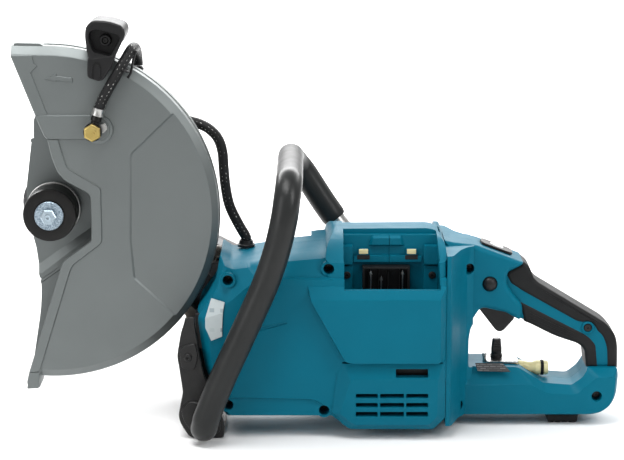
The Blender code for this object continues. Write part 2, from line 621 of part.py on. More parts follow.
def make_controls():
    pivot = (TRIGGER_PIVOT[0], 0, TRIGGER_PIVOT[1])
    add_object("trigger", prism(metres(TRIGGER), -0.0080, 0.0080), BLACK_PLASTIC, pivot)
    button = [(0, -0.0345), (0.0060, -0.0345), (0.0082, -0.0325), (0.0082, -0.0175),
              (0, -0.0175)]
    centre = (BUTTON[0], 0, BUTTON[1])
    add_object("lock_off_button", turned(button, centre, "Y", 20), BLACK_PLASTIC, centre)
    turns = 4
    spring = []
    for index in range(turns * 10 + 1):
        angle = 2 * math.pi * index / 10
        spring.append(Vector((0.2225 + 0.0036 * math.cos(angle), 0.0036 * math.sin(angle),
                              0.1331 + 0.0160 * index / (turns * 10))))
    tube("trigger_spring", spring, 0.0006, STEEL, 0)


def make_control_panel():
    """Long oval plate on the slope above the trigger, with the power button let into it."""
    slope = math.atan2(207.3 - 190.3, 240.3 - 195.1)
    middle = Vector((0.2110, 0, 0.2016))
    turn = Matrix.Translation(middle) @ Matrix.Rotation(slope, 4, "Y")
    length = 0.0175
    width = 0.0110
    sides = arc((length - width * 0.6, 0), width, -60, 60, 6)
    outline = sides + [(-x, -y) for x, y in sides]
    plate = prism(outline, GAP, 0.0028, "Z")
    plate.transform(turn)
    panel = add_object("control_panel", plate, BLACK_PLASTIC)
    for scale, low, high, tool in ((0.52, 0.0010, 0.01, True), (0.46, 0.0023, 0.0036, False)):
        shape = prism([(x * scale, y * scale) for x, y in outline], low, high, "Z")
        shape.transform(turn)
        if tool:
            cut(panel, shape)
        else:
            add_object("power_button", shape, ((0.8, 0.8, 0.8), 0.4, 0.0), tuple(middle))


# --- water kit -----------------------------------------------------------------------------------

NOZZLE = (-0.2430, 0.3445)
TEE = (-0.1975, 0.4000)
GLAND = (-0.0760, 0.2001)
HOSE_MAIN = [(-76, 13, 208.2), (-76.8, 13, 212.5), (-84.5, 13, 226), (-94.6, 13, 247.6), (-99.2, 13, 270),
             (-101.2, 13, 292.6), (-102.5, 13, 311), (-107.5, 13, 326.3), (-117.5, 13, 337.2),
             (-130.3, 13, 343.7), (-144, 13, 347.5), (-160, 13, 353), (-175, 13, 364),
             (-186, 13, 378.5), (-192.8, 13, 390.2)]
HOSE_NEAR = [(-237.7, -52, 363.8), (-236.4, -52, 368.5), (-230, -53, 383), (-219, -54, 402), (-208.5, -52, 420),
             (-201.5, -45, 432), (-198.5, -32, 435.5), (-197.8, -17, 434), (-197.5, -3, 429),
             (-197.5, 8, 422.5), (-197.5, 13, 415), (-197.5, 13, 410.0)]
HOSE_FAR = [(-207.7, 13, 396.3), (-213, 13, 394.4), (-225, 13, 387), (-234, 13, 375),
            (-236.4, 13, 368.5), (-237.7, 13, 363.8)]


def mm_route(points, per_span=2):
    return smooth_route([tuple(value / 1000 for value in point) for point in points], per_span)


def nozzle(name, face, tip):
    """Brass banjo fitting on one face of the guard, with the spigot for its hose."""
    sign = 1 if tip > face else -1
    pivot = (SPINDLE[0], 0, SPINDLE[1])
    span = sorted((face + sign * GAP, face + sign * 0.0150))
    item = add_object(name, rod(0.0070, NOZZLE, *span, 16), BRASS, pivot)
    head = sorted((tip, face + sign * 0.0145))
    join(item, rod(0.0098, NOZZLE, *head, 6))
    middle = face + sign * 0.0100
    spigot = turned([(0, 0.004), (0.0055, 0.004), (0.0055, 0.0195), (0, 0.0195)], (0, 0, 0),
                    "Z", 12)
    spigot.transform(Matrix.Translation((NOZZLE[0], middle, NOZZLE[1]))
                     @ Matrix.Rotation(math.radians(15.5), 4, "Y"))
    join(item, spigot)
    return item


def make_water_kit():
    nozzle("nozzle_near", GUARD_NEAR_Y, -0.0630)
    nozzle("nozzle_far", GUARD_FAR_Y, 0.0245)
    pivot = (SPINDLE[0], 0, SPINDLE[1])
    tee = add_object("hose_tee", turned([(0, -0.0090), (0.0062, -0.0090), (0.0068, -0.0050),
                                         (0.0068, 0.0050), (0.0062, 0.0090), (0, 0.0090)],
                                        (TEE[0], HOSE_Y, TEE[1]), "Z", 12), BLACK_PLASTIC, pivot)
    for turn in (math.radians(152), math.radians(-110)):
        branch = turned([(0, 0.0), (0.0060, 0.0), (0.0060, 0.0100), (0, 0.0100)], (0, 0, 0),
                        "Z", 12)
        branch.transform(Matrix.Translation((TEE[0], HOSE_Y, TEE[1]))
                         @ Matrix.Rotation(turn, 4, "Y"))
        join(tee, branch)
    tube("hose_main", mm_route(HOSE_MAIN), HOSE_RADIUS, RUBBER, 2)
    tube("hose_near", mm_route(HOSE_NEAR), HOSE_RADIUS, RUBBER, 2)
    tube("hose_far", mm_route(HOSE_FAR), HOSE_RADIUS, RUBBER, 2)
    gland = turned([(0, 0.0003), (0.0100, 0.0003), (0.0100, 0.0040), (0.0075, 0.0078),
                    (0, 0.0078)], (GLAND[0], HOSE_Y, GLAND[1]), "Z", 16)
    add_object("hose_gland", gland, BLACK_PLASTIC)
    make_tap()


def make_tap():
    tap = (0.2140, 0, 0)
    body = add_object("water_valve", block((0.2038, -0.0120, 0.0500), (0.2382, 0.0120, 0.0665)),
                      BRASS)
    cut(body, turned([(0, 0.0560), (0.0034, 0.0560), (0.0034, 0.0700), (0, 0.0700)], tap, "Z",
                     12))
    plate = add_object("valve_plate", block((0.2020, -0.0150, 0.0682), (0.2390, 0.0150, 0.0702)),
                       STEEL)
    cut(plate, turned([(0, 0.0600), (0.0034, 0.0600), (0.0034, 0.0800), (0, 0.0800)], tap, "Z",
                      12))
    knob = [(0, 0.0565), (0.0030, 0.0565), (0.0030, 0.0706), (0.0062, 0.0706),
            (0.0062, 0.0800), (0.0052, 0.0935), (0, 0.0935)]
    add_object("valve_knob", turned(knob, tap, "Z", 12), BLACK_PLASTIC, (tap[0], 0, 0.0706))
    neck = [(0, 0.2386), (0.0075, 0.2386), (0.0086, 0.2430), (0.0086, 0.2480), (0.0066, 0.2520),
            (0.0066, 0.2560), (0.0084, 0.2600), (0.0084, 0.2650), (0.0074, 0.2650),
            (0.0074, 0.2690), (0.0084, 0.2690), (0.0084, 0.2740), (0, 0.2740)]
    add_object("hose_connector", turned(neck, (0, 0, 0.0590), "X", 16), CREAM)
    seal = [(0.0076, 0.2654), (0.0089, 0.2654), (0.0089, 0.2686), (0.0076, 0.2686)]
    add_object("connector_o_ring", turned(seal, (0, 0, 0.0590), "X", 16), RUBBER)


def make_rear_foot():
    foot = [(272.5, 0), (306, 0), (308, 10.2), (271, 10.2)]
    add_object("rear_foot", prism(metres(foot), -0.026, 0.026), RUBBER)


def main():
    clear_scene()
    make_guard()
    make_guard_grip()
    make_spindle()
    make_drive_arm()
    make_motor()
    make_housing()
    make_battery_bays()
    make_electrics()
    make_front_handle()
    make_front_bracket()
    make_rear_handle()
    make_controls()
    make_control_panel()
    make_water_kit()
    make_rear_foot()


main()
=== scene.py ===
"""Looks of the battery rescue saw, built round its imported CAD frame.

Outlines are in millimetres from the drawing's zero, which DRAWING_X puts in the frame.
"""

import json
import math

import bmesh
import bpy
from mathutils import Matrix, Vector
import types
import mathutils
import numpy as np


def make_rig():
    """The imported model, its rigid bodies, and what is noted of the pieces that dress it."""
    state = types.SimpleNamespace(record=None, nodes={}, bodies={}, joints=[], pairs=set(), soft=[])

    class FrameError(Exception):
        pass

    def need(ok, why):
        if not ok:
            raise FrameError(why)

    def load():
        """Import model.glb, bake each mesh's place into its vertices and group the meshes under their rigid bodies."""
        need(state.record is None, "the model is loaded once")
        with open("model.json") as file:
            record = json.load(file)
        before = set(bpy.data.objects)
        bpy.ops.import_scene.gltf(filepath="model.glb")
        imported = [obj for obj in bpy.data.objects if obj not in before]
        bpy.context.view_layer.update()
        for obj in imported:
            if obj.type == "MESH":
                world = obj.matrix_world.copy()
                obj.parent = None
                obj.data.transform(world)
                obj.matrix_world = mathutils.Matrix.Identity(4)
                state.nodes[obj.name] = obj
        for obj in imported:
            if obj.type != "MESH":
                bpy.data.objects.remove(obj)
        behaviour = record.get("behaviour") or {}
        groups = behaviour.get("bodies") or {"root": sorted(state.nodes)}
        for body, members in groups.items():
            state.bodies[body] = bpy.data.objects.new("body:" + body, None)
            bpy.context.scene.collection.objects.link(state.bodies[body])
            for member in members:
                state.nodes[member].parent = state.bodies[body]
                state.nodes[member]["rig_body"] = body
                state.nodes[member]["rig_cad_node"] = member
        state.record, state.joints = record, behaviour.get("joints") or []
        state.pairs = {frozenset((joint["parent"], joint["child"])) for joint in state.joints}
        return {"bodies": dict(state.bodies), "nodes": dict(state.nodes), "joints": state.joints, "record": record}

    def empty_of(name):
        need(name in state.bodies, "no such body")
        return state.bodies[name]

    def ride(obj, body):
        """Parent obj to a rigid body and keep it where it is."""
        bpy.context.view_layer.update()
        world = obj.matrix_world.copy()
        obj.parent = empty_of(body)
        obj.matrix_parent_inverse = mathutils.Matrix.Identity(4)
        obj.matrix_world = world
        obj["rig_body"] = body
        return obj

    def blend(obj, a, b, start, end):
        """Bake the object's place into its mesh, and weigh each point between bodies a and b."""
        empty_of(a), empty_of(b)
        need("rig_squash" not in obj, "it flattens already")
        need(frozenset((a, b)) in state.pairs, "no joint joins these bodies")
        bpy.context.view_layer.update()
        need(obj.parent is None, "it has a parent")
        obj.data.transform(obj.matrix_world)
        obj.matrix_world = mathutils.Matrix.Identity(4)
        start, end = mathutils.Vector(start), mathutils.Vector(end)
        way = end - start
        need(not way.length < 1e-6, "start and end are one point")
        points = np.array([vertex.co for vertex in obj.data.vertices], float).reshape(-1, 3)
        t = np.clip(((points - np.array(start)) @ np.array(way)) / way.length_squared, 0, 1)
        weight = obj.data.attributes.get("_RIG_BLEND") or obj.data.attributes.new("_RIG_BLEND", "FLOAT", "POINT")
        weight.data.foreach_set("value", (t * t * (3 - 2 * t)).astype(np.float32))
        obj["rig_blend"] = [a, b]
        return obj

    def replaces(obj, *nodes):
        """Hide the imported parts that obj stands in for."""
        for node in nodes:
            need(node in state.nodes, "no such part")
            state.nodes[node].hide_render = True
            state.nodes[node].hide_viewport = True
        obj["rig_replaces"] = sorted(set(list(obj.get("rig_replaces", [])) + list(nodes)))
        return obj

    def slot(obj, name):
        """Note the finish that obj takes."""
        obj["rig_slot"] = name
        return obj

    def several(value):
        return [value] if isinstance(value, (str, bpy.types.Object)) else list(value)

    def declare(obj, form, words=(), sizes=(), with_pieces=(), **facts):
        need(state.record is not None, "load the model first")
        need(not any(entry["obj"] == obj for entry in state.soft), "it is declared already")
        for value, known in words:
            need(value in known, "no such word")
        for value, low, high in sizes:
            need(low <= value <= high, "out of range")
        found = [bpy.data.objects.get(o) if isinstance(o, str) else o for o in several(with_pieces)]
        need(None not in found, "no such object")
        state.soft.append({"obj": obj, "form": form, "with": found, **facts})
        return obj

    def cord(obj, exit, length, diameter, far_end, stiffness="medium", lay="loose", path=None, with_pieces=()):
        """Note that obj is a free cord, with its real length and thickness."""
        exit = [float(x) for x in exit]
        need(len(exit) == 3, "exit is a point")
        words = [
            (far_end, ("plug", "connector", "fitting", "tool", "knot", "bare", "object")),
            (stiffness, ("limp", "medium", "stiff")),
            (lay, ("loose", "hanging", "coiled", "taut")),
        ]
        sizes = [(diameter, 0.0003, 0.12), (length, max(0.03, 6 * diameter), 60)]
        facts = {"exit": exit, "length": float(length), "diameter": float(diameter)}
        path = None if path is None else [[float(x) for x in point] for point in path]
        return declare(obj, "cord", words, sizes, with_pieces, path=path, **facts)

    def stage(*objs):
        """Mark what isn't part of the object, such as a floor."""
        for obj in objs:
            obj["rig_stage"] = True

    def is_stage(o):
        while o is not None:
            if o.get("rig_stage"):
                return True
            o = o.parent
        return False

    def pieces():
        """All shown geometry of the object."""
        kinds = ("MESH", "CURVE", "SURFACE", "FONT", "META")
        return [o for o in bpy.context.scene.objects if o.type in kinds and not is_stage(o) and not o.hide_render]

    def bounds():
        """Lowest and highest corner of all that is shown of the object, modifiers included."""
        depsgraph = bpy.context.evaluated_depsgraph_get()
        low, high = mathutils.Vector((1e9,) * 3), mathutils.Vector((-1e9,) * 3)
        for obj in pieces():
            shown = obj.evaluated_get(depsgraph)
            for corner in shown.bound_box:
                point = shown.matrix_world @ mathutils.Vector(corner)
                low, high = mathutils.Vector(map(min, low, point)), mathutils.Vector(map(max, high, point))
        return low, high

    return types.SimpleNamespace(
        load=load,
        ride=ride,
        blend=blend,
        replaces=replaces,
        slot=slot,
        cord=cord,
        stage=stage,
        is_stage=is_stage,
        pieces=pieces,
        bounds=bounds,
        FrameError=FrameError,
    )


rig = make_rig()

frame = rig.load()
CAD_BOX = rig.bounds()
JOINTS = {joint["name"]: joint for joint in frame["record"]["behaviour"]["joints"]}

SPINDLE = (-295.0, 248.0)        # x and z of the wheel axis
MOTOR = (-55.0, 115.0)           # x and z of the motor axis
HALF_GAP = 0.15                  # each half of a split casing stops this far from the seam
DRAWING_X = JOINTS["guard_turn"]["pos_m"][0] - SPINDLE[0] / 1000
MM = 0.001
SMOOTH_ANGLE = 32                # degrees; a sharper edge is shaded as an edge
MOULD_ANGLE = 28                 # the same for moulded and cast pieces
SOFT_ANGLE = 34                  # and for soft pieces
TURNED_ANGLE = 40                # and for turned pieces
BEVEL_ANGLE = 40                 # a sharper edge is turned over where a piece asks for it
WELD = 2e-6                      # vertices this close, in metres, are one


# --- drawing -------------------------------------------------------------------------------

def spot(x, y, z):
    """A place given in millimetres on the drawing, in the frame's metres."""
    return Vector((x * MM + DRAWING_X, y * MM, z * MM))


def middle_spot(point):
    """The place of an (x, z) point on the saw's middle plane."""
    return spot(point[0], 0, point[1])


def clear_start():
    for item in list(bpy.data.objects):
        if item.name in ("Cube", "Light", "Camera"):
            bpy.data.objects.remove(item, do_unlink=True)


def arc(centre, radius, start, end, steps):
    """Points on an arc; the angles are in degrees from +X towards +Z."""
    points = []
    for index in range(steps + 1):
        angle = math.radians(start + (end - start) * index / steps)
        points.append((centre[0] + radius * math.cos(angle),
                       centre[1] + radius * math.sin(angle)))
    return points


def star(centre, tip, root):
    """Outline of a six-lobed socket between two radii."""
    return [(centre[0] + (tip if index % 2 else root) * a,
             centre[1] + (tip if index % 2 else root) * b)
            for index, (a, b) in enumerate(arc((0, 0), 1.0, 0, 330, 11))]


class Outline(list):
    """Points of a rounded outline that also holds its own corners, so that it can be offset."""


def rounded(points, radius=3.0, steps=4):
    """The outline with each corner turned into a curve; a third number is a corner's own radius."""
    corners = [(x, z, *(own or [radius])) for x, z, *own in points]
    result = Outline()
    result.corners, result.steps = corners, steps
    count = len(corners)
    for index, corner in enumerate(corners):
        here = Vector(corner[:2])
        before = Vector(corners[index - 1][:2]) - here
        after = Vector(corners[(index + 1) % count][:2]) - here
        if corner[2] == 0:
            result.append(tuple(here))
            continue
        reach = min(corner[2], before.length * 0.45, after.length * 0.45)
        first = here + before.normalized() * reach
        last = here + after.normalized() * reach
        for step in range(steps + 1):
            t = step / steps
            place = first * (1 - t) ** 2 + here * 2 * t * (1 - t) + last * t * t
            result.append(tuple(place))
    return result


def oblong(x0, x1, z0, z1, radius, steps):
    return rounded([(x0, z0), (x1, z0), (x1, z1), (x0, z1)], radius, steps)


def offset(outline, amount):
    """Each corner moved out along its two sides; a side that would turn round is closed up."""
    area = sum(a[0] * b[1] - b[0] * a[1] for a, b in zip(outline, outline[1:] + outline[:1]))
    turn = 1 if area > 0 else -1
    places, radii = [], []
    count = len(outline)
    for index, here in enumerate(outline):
        before = outline[index - 1]
        after = outline[(index + 1) % count]
        first = Vector((here[0] - before[0], here[1] - before[1])).normalized()
        second = Vector((after[0] - here[0], after[1] - here[1])).normalized()
        normal = Vector((first.y, -first.x)) + Vector((second.y, -second.x))
        scale = turn * amount / max(normal.length_squared / 2, 0.35)
        places.append(Vector((here[0] + normal.x * scale, here[1] + normal.y * scale)))
        bend = turn * (first.x * second.y - first.y * second.x)
        radius = here[2] if len(here) > 2 else None
        if radius:
            radius = max(radius + (amount if bend > 0 else -amount), 0.3)
        radii.append(radius)
    for _ in range(4):
        for index in range(count):
            after = (index + 1) % count
            was = Vector(outline[after][:2]) - Vector(outline[index][:2])
            if was.dot(places[after] - places[index]) < 0:
                places[index] = places[after] = (places[index] + places[after]) / 2
    return [(place.x, place.y) if radius is None else (place.x, place.y, radius)
            for place, radius in zip(places, radii)]


def grown(outline, amount):
    """The outline pushed outwards by the amount, or inwards where it is negative."""
    if isinstance(outline, Outline):
        return rounded(offset(outline.corners, amount), steps=outline.steps)
    return offset(outline, amount)


# --- solids --------------------------------------------------------------------------------

def lofted(layers):
    """Closed solid through (y, outline) layers, whose outlines have equally many points."""
    bm = bmesh.new()
    level, outline = layers[0]
    loop = [bm.verts.new(spot(a, level, b)) for a, b in outline]
    face = bm.faces.new(loop)
    for index, (level, outline) in enumerate(layers[1:]):
        under = face
        under_verts = set(loop)
        made = bmesh.ops.extrude_face_region(bm, geom=[face])["geom"]
        face = next(f for f in made if isinstance(f, bmesh.types.BMFace))
        fresh = {next(e.other_vert(v) for e in v.link_edges if e.other_vert(v) in under_verts): v
                 for v in made if isinstance(v, bmesh.types.BMVert)}
        if index > 0:
            bmesh.ops.delete(bm, geom=[under], context="FACES_ONLY")
        loop = [fresh[v] for v in loop]
        for vert, (a, b) in zip(loop, outline):
            vert.co = spot(a, level, b)
    bmesh.ops.remove_doubles(bm, verts=bm.verts, dist=WELD)
    bmesh.ops.recalc_face_normals(bm, faces=bm.faces)
    return bm


def prism(outline, low, high):
    return lofted([(low, outline), (high, outline)])


def box(low, high):
    outline = [(low[0], low[2]), (high[0], low[2]), (high[0], high[2]), (low[0], high[2])]
    return prism(outline, low[1], high[1])


def thicken(bm, faces, move):
    """Makes faces into a solid along a vector in metres, and gives its far vertices."""
    made = bmesh.ops.extrude_face_region(bm, geom=faces)["geom"]
    verts = [part for part in made if isinstance(part, bmesh.types.BMVert)]
    bmesh.ops.translate(bm, vec=move, verts=verts)
    return verts


def side_box(side, xs, ys, zs):
    """Box whose two y are distances from the middle plane, on the side given by the sign."""
    low, high = sorted((side * ys[0], side * ys[1]))
    return box((xs[0], low, zs[0]), (xs[1], high, zs[1]))


def along_x(outline, low, high):
    """Prism between two x, over an outline of (y, z) points."""
    bm = bmesh.new()
    face = bm.faces.new([bm.verts.new(spot(low, y, z)) for y, z in outline])
    thicken(bm, [face], ((high - low) * MM, 0, 0))
    bmesh.ops.recalc_face_normals(bm, faces=bm.faces)
    return bm


def upright(outline, low, high):
    """Prism between two z, over an outline of (x, y) points."""
    bm = bmesh.new()
    face = bm.faces.new([bm.verts.new(spot(x, y, low)) for x, y in outline])
    thicken(bm, [face], (0, 0, (high - low) * MM))
    bmesh.ops.recalc_face_normals(bm, faces=bm.faces)
    return bm


def pillow(outline, back, face, radius, steps=4):
    """Solid from back to face whose edge at the face is turned over by the radius."""
    side = 1 if face > back else -1
    layers = [(back, outline)]
    for step in range(steps + 1):
        angle = math.pi / 2 * step / steps
        inset = radius * (1 - math.cos(angle))
        level = face - side * radius * (1 - math.sin(angle))
        layers.append((level, grown(outline, -inset) if inset > 1e-6 else outline))
    return lofted(layers)


def pebble(outline, low, high, radius, steps=3):
    """Solid whose edges are turned over at both of its ends."""
    ends = [(radius * (1 - math.sin(math.pi / 2 * step / steps)),
             radius * (1 - math.cos(math.pi / 2 * step / steps))) for step in range(steps + 1)]
    layers = [(low + drop, grown(outline, -inset)) for inset, drop in ends]
    layers += [(high - drop, grown(outline, -inset)) for inset, drop in reversed(ends)]
    return lofted(layers)


def turned(profile, place, along=(0, 1, 0), segments=48):
    """Solid of revolution of (radius, height) points, its axis through place."""
    bm = bmesh.new()
    verts = [bm.verts.new((radius * MM, 0, height * MM)) for radius, height in profile]
    edges = [bm.edges.new(pair) for pair in zip(verts, verts[1:])]
    if min(radius for radius, height in profile) > 0:
        edges.append(bm.edges.new((verts[-1], verts[0])))
    bmesh.ops.spin(bm, geom=verts + edges, cent=(0, 0, 0), axis=(0, 0, 1), dvec=(0, 0, 0),
                   angle=2 * math.pi, steps=segments, use_merge=True, use_duplicate=False)
    bmesh.ops.remove_doubles(bm, verts=bm.verts, dist=1e-6)
    turn = Vector((0, 0, 1)).rotation_difference(Vector(along)).to_matrix().to_4x4()
    bm.transform(Matrix.Translation(place) @ turn)
    bmesh.ops.recalc_face_normals(bm, faces=bm.faces)
    return bm


def bar(radius, low, high, place, along, segments):
    """Plain cylinder along an axis through place."""
    return turned([(0, low), (radius, low), (radius, high), (0, high)], place, along, segments)


def rod(radius, centre, low, high, segments=32):
    """Plain cylinder across the saw."""
    return bar(radius, low, high, middle_spot(centre), (0, 1, 0), segments)


def route_frames(route):
    """A turned frame at each point of a route, with no twist between them."""
    frames = []
    side = None
    for index, point in enumerate(route):
        along = (route[min(index + 1, len(route) - 1)] - route[max(index - 1, 0)]).normalized()
        if side is None:
            side = along.orthogonal().normalized()
        side = (side - along * side.dot(along)).normalized()
        other = along.cross(side)
        turn = Matrix((side, other, along)).transposed().to_4x4()
        frames.append(Matrix.Translation(point) @ turn)
    return frames


def swept(route, radius, sides, sizes=None):
    """Closed round bar along a route, with a UV map: metres along, share of a turn round."""
    frames = route_frames(route)
    sizes = sizes or [1.0] * len(route)
    bm = bmesh.new()
    uv = bm.loops.layers.uv.new("UVMap")
    made = bmesh.ops.create_circle(bm, segments=sides, radius=radius * sizes[0], cap_ends=False,
                                   matrix=frames[0])
    edges = list({edge for vert in made["verts"] for edge in vert.link_edges})
    bmesh.ops.contextual_create(bm, geom=edges)
    travelled = 0.0
    for index in range(1, len(route)):
        made = bmesh.ops.extrude_edge_only(bm, edges=edges)["geom"]
        verts = [part for part in made if isinstance(part, bmesh.types.BMVert)]
        scale = Matrix.Scale(sizes[index] / sizes[index - 1], 4)
        move = frames[index] @ scale @ frames[index - 1].inverted()
        bmesh.ops.transform(bm, matrix=move, verts=verts)
        edges = [part for part in made if isinstance(part, bmesh.types.BMEdge)
                 and all(vert in verts for vert in part.verts)]
        step = (route[index] - route[index - 1]).length
        local = frames[index].inverted()
        for face in (part for part in made if isinstance(part, bmesh.types.BMFace)):
            middle = local @ face.calc_center_median()
            centre = math.atan2(middle.y, middle.x) / (2 * math.pi)
            for loop in face.loops:
                ahead = loop.vert in verts
                here = (local if ahead else frames[index - 1].inverted()) @ loop.vert.co
                share = math.atan2(here.y, here.x) / (2 * math.pi)
                share += round(centre - share)
                loop[uv].uv = (travelled + (step if ahead else 0.0), share)
        travelled += step
    bmesh.ops.contextual_create(bm, geom=edges)
    bmesh.ops.recalc_face_normals(bm, faces=bm.faces)
    return bm


def smooth_route(points, per_span=6):
    """Points on a Catmull-Rom curve through the route's own points, in metres."""
    route = [spot(*point) for point in points]
    ends = [2 * route[0] - route[1]] + route + [2 * route[-1] - route[-2]]
    result = []
    for a, b, c, d in zip(ends, ends[1:], ends[2:], ends[3:]):
        for index in range(per_span):
            t = index / per_span
            result.append(0.5 * (2 * b + (c - a) * t + (2 * a - 5 * b + 4 * c - d) * t * t
                                 + (3 * b - a - 3 * c + d) * t ** 3))
    result.append(route[-1])
    return result


def loose(name, bm):
    mesh = bpy.data.meshes.new(name)
    bm.to_mesh(mesh)
    bm.free()
    item = bpy.data.objects.new(name, mesh)
    bpy.context.collection.objects.link(item)
    return item


def is_closed(mesh):
    bm = bmesh.new()
    bm.from_mesh(mesh)
    closed = len(bm.faces) > 3 and all(edge.is_manifold for edge in bm.edges)
    bm.free()
    return closed


def combine(item, bm, operation):
    """Applies an exact Boolean of the drawn tool shape."""
    tool = loose("tool", bm)
    modifier = item.modifiers.new("combine", "BOOLEAN")
    modifier.object = tool
    modifier.solver = "EXACT"
    modifier.operation = operation
    for with_self in (False, True):
        modifier.use_self = with_self
        graph = bpy.context.evaluated_depsgraph_get()
        result = bpy.data.meshes.new_from_object(item.evaluated_get(graph))
        if is_closed(result):
            break
    item.modifiers.clear()
    item.data = result
    bpy.data.objects.remove(tool, do_unlink=True)


def add(item, *shapes):
    for shape in shapes:
        combine(item, shape, "UNION")
    return item


def cut(item, *shapes):
    for shape in shapes:
        combine(item, shape, "DIFFERENCE")
    return item


def mirrored(item, name):
    """Copy on the other side of the saw's middle plane."""
    bm = bmesh.new()
    bm.from_mesh(item.data)
    bmesh.ops.transform(bm, matrix=Matrix.Diagonal((1, -1, 1, 1)), verts=bm.verts)
    bmesh.ops.reverse_faces(bm, faces=bm.faces)
    return loose(name, bm)


def finish_piece(item, finish, body, replaces=(), edge=0.0, angle=SMOOTH_ANGLE):
    """Gives a solid its finish and slot, its edges and the body it rides on."""
    mesh = item.data
    bm = bmesh.new()
    bm.from_mesh(mesh)
    bmesh.ops.remove_doubles(bm, verts=bm.verts, dist=WELD)
    bmesh.ops.dissolve_degenerate(bm, edges=bm.edges, dist=1e-6)
    bm.to_mesh(mesh)
    bm.free()
    mesh.materials.clear()
    mesh.materials.append(FINISH[finish])
    mesh.shade_smooth()
    mesh.set_sharp_from_angle(angle=math.radians(angle))
    if edge > 0:
        bevel = item.modifiers.new("edges", "BEVEL")
        bevel.width = edge * MM
        bevel.segments = 2
        bevel.limit_method = "ANGLE"
        bevel.angle_limit = math.radians(BEVEL_ANGLE)
    weighted = item.modifiers.new("normals", "WEIGHTED_NORMAL")
    weighted.keep_sharp = True
    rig.ride(item, body)
    if replaces:
        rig.replaces(item, *replaces)
    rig.slot(item, SLOTS[finish])
    return item


def piece(name, bm, finish, body, replaces=(), edge=0.0, angle=SMOOTH_ANGLE):
    return finish_piece(loose(name, bm), finish, body, replaces, edge, angle)


# --- finishes ------------------------------------------------------------------------------

def node(tree, kind, **values):
    made = tree.nodes.new(kind)
    for key, value in values.items():
        if hasattr(made, key):
            setattr(made, key, value)
        else:
            made.inputs[key.replace("_", " ")].default_value = value
    return made


def blank(name):
    made = bpy.data.materials.new(name)
    made.use_nodes = True
    return made, made.node_tree, made.node_tree.nodes["Principled BSDF"]


def noise_at(tree, scale, detail, stretch=(1, 1, 1)):
    """Noise over the piece's own place, stretched where the finish has a direction."""
    place = node(tree, "ShaderNodeTexCoord")
    mapping = node(tree, "ShaderNodeMapping")
    mapping.inputs["Scale"].default_value = stretch
    noise = node(tree, "ShaderNodeTexNoise", Scale=scale, Detail=detail)
    tree.links.new(place.outputs["Object"], mapping.inputs["Vector"])
    tree.links.new(mapping.outputs["Vector"], noise.inputs["Vector"])
    return noise.outputs["Fac"]


def spread(tree, value, low, high):
    """The middle of a noise stretched over a range of values."""
    made = node(tree, "ShaderNodeMapRange")
    for key, number in (("From Min", 0.3), ("From Max", 0.7), ("To Min", low), ("To Max", high)):
        made.inputs[key].default_value = number
    tree.links.new(value, made.inputs["Value"])
    return made.outputs["Result"]


def mixed(tree, share, first, second):
    made = node(tree, "ShaderNodeMix", data_type="RGBA")
    made.inputs[6].default_value = (*first, 1.0)
    made.inputs[7].default_value = (*second, 1.0)
    tree.links.new(share, made.inputs[0])
    return made.outputs[2]


def relief(tree, shader, height, strength, distance):
    bump = node(tree, "ShaderNodeBump", Strength=strength, Distance=distance)
    tree.links.new(height, bump.inputs["Height"])
    tree.links.new(bump.outputs["Normal"], shader.inputs["Normal"])


def surface(name, light, dark, roughness, metallic=0.0, grain=1800.0, depth=0.12, patch=22.0,
            stretch=(1, 1, 1), specular=0.5):
    """Finish with a clouded colour, an uneven gloss and a fine grain."""
    made, tree, shader = blank(name)
    cloud = noise_at(tree, patch, 5.0)
    share = spread(tree, cloud, 0.0, 1.0)
    tree.links.new(mixed(tree, share, light, dark), shader.inputs["Base Color"])
    rough = spread(tree, noise_at(tree, patch * 3.1, 4.0, stretch), roughness - 0.04,
                   roughness + 0.05)
    tree.links.new(rough, shader.inputs["Roughness"])
    shader.inputs["Metallic"].default_value = metallic
    shader.inputs["Specular IOR Level"].default_value = specular
    relief(tree, shader, noise_at(tree, grain, 2.0, stretch), depth, 0.0002)
    return made


def zinc_plate():
    """Blue zinc plating with a bright speckle."""
    made, tree, shader = blank("zinc_plate")
    place = node(tree, "ShaderNodeTexCoord")
    cells = node(tree, "ShaderNodeTexVoronoi", Scale=900.0)
    tree.links.new(place.outputs["Object"], cells.inputs["Vector"])
    share = node(tree, "ShaderNodeSeparateColor")
    tree.links.new(cells.outputs["Color"], share.inputs[0])
    colour = mixed(tree, share.outputs[0], (0.13, 0.18, 0.23), (0.44, 0.53, 0.60))
    tree.links.new(colour, shader.inputs["Base Color"])
    shader.inputs["Metallic"].default_value = 0.75
    shader.inputs["Roughness"].default_value = 0.38
    relief(tree, shader, cells.outputs["Distance"], 0.25, 0.0002)
    return made


def turned_metal(name, light, dark, roughness, patch=60.0):
    return surface(name, light, dark, roughness, 1.0, 700.0, 0.08, patch, (1, 6, 1))


def maths(tree, operation, first, second=None):
    made = node(tree, "ShaderNodeMath", operation=operation)
    for socket, value in zip(made.inputs, (first, second)):
        if value is None:
            continue
        if isinstance(value, (int, float)):
            socket.default_value = value
        else:
            tree.links.new(value, socket)
    return made.outputs[0]


BRAID_ROWS = 8
DASH_PITCH = 0.0048              # metres, as is the weave's
DASH_SHARE = 0.34                # of the pitch
DASH_WIDTH = 0.075               # of a row, to each side
ROW_SHIFT = 0.37                 # of the pitch, from one row to the next
WEAVE_PITCH = 0.0026
WEAVE_STRANDS = 14


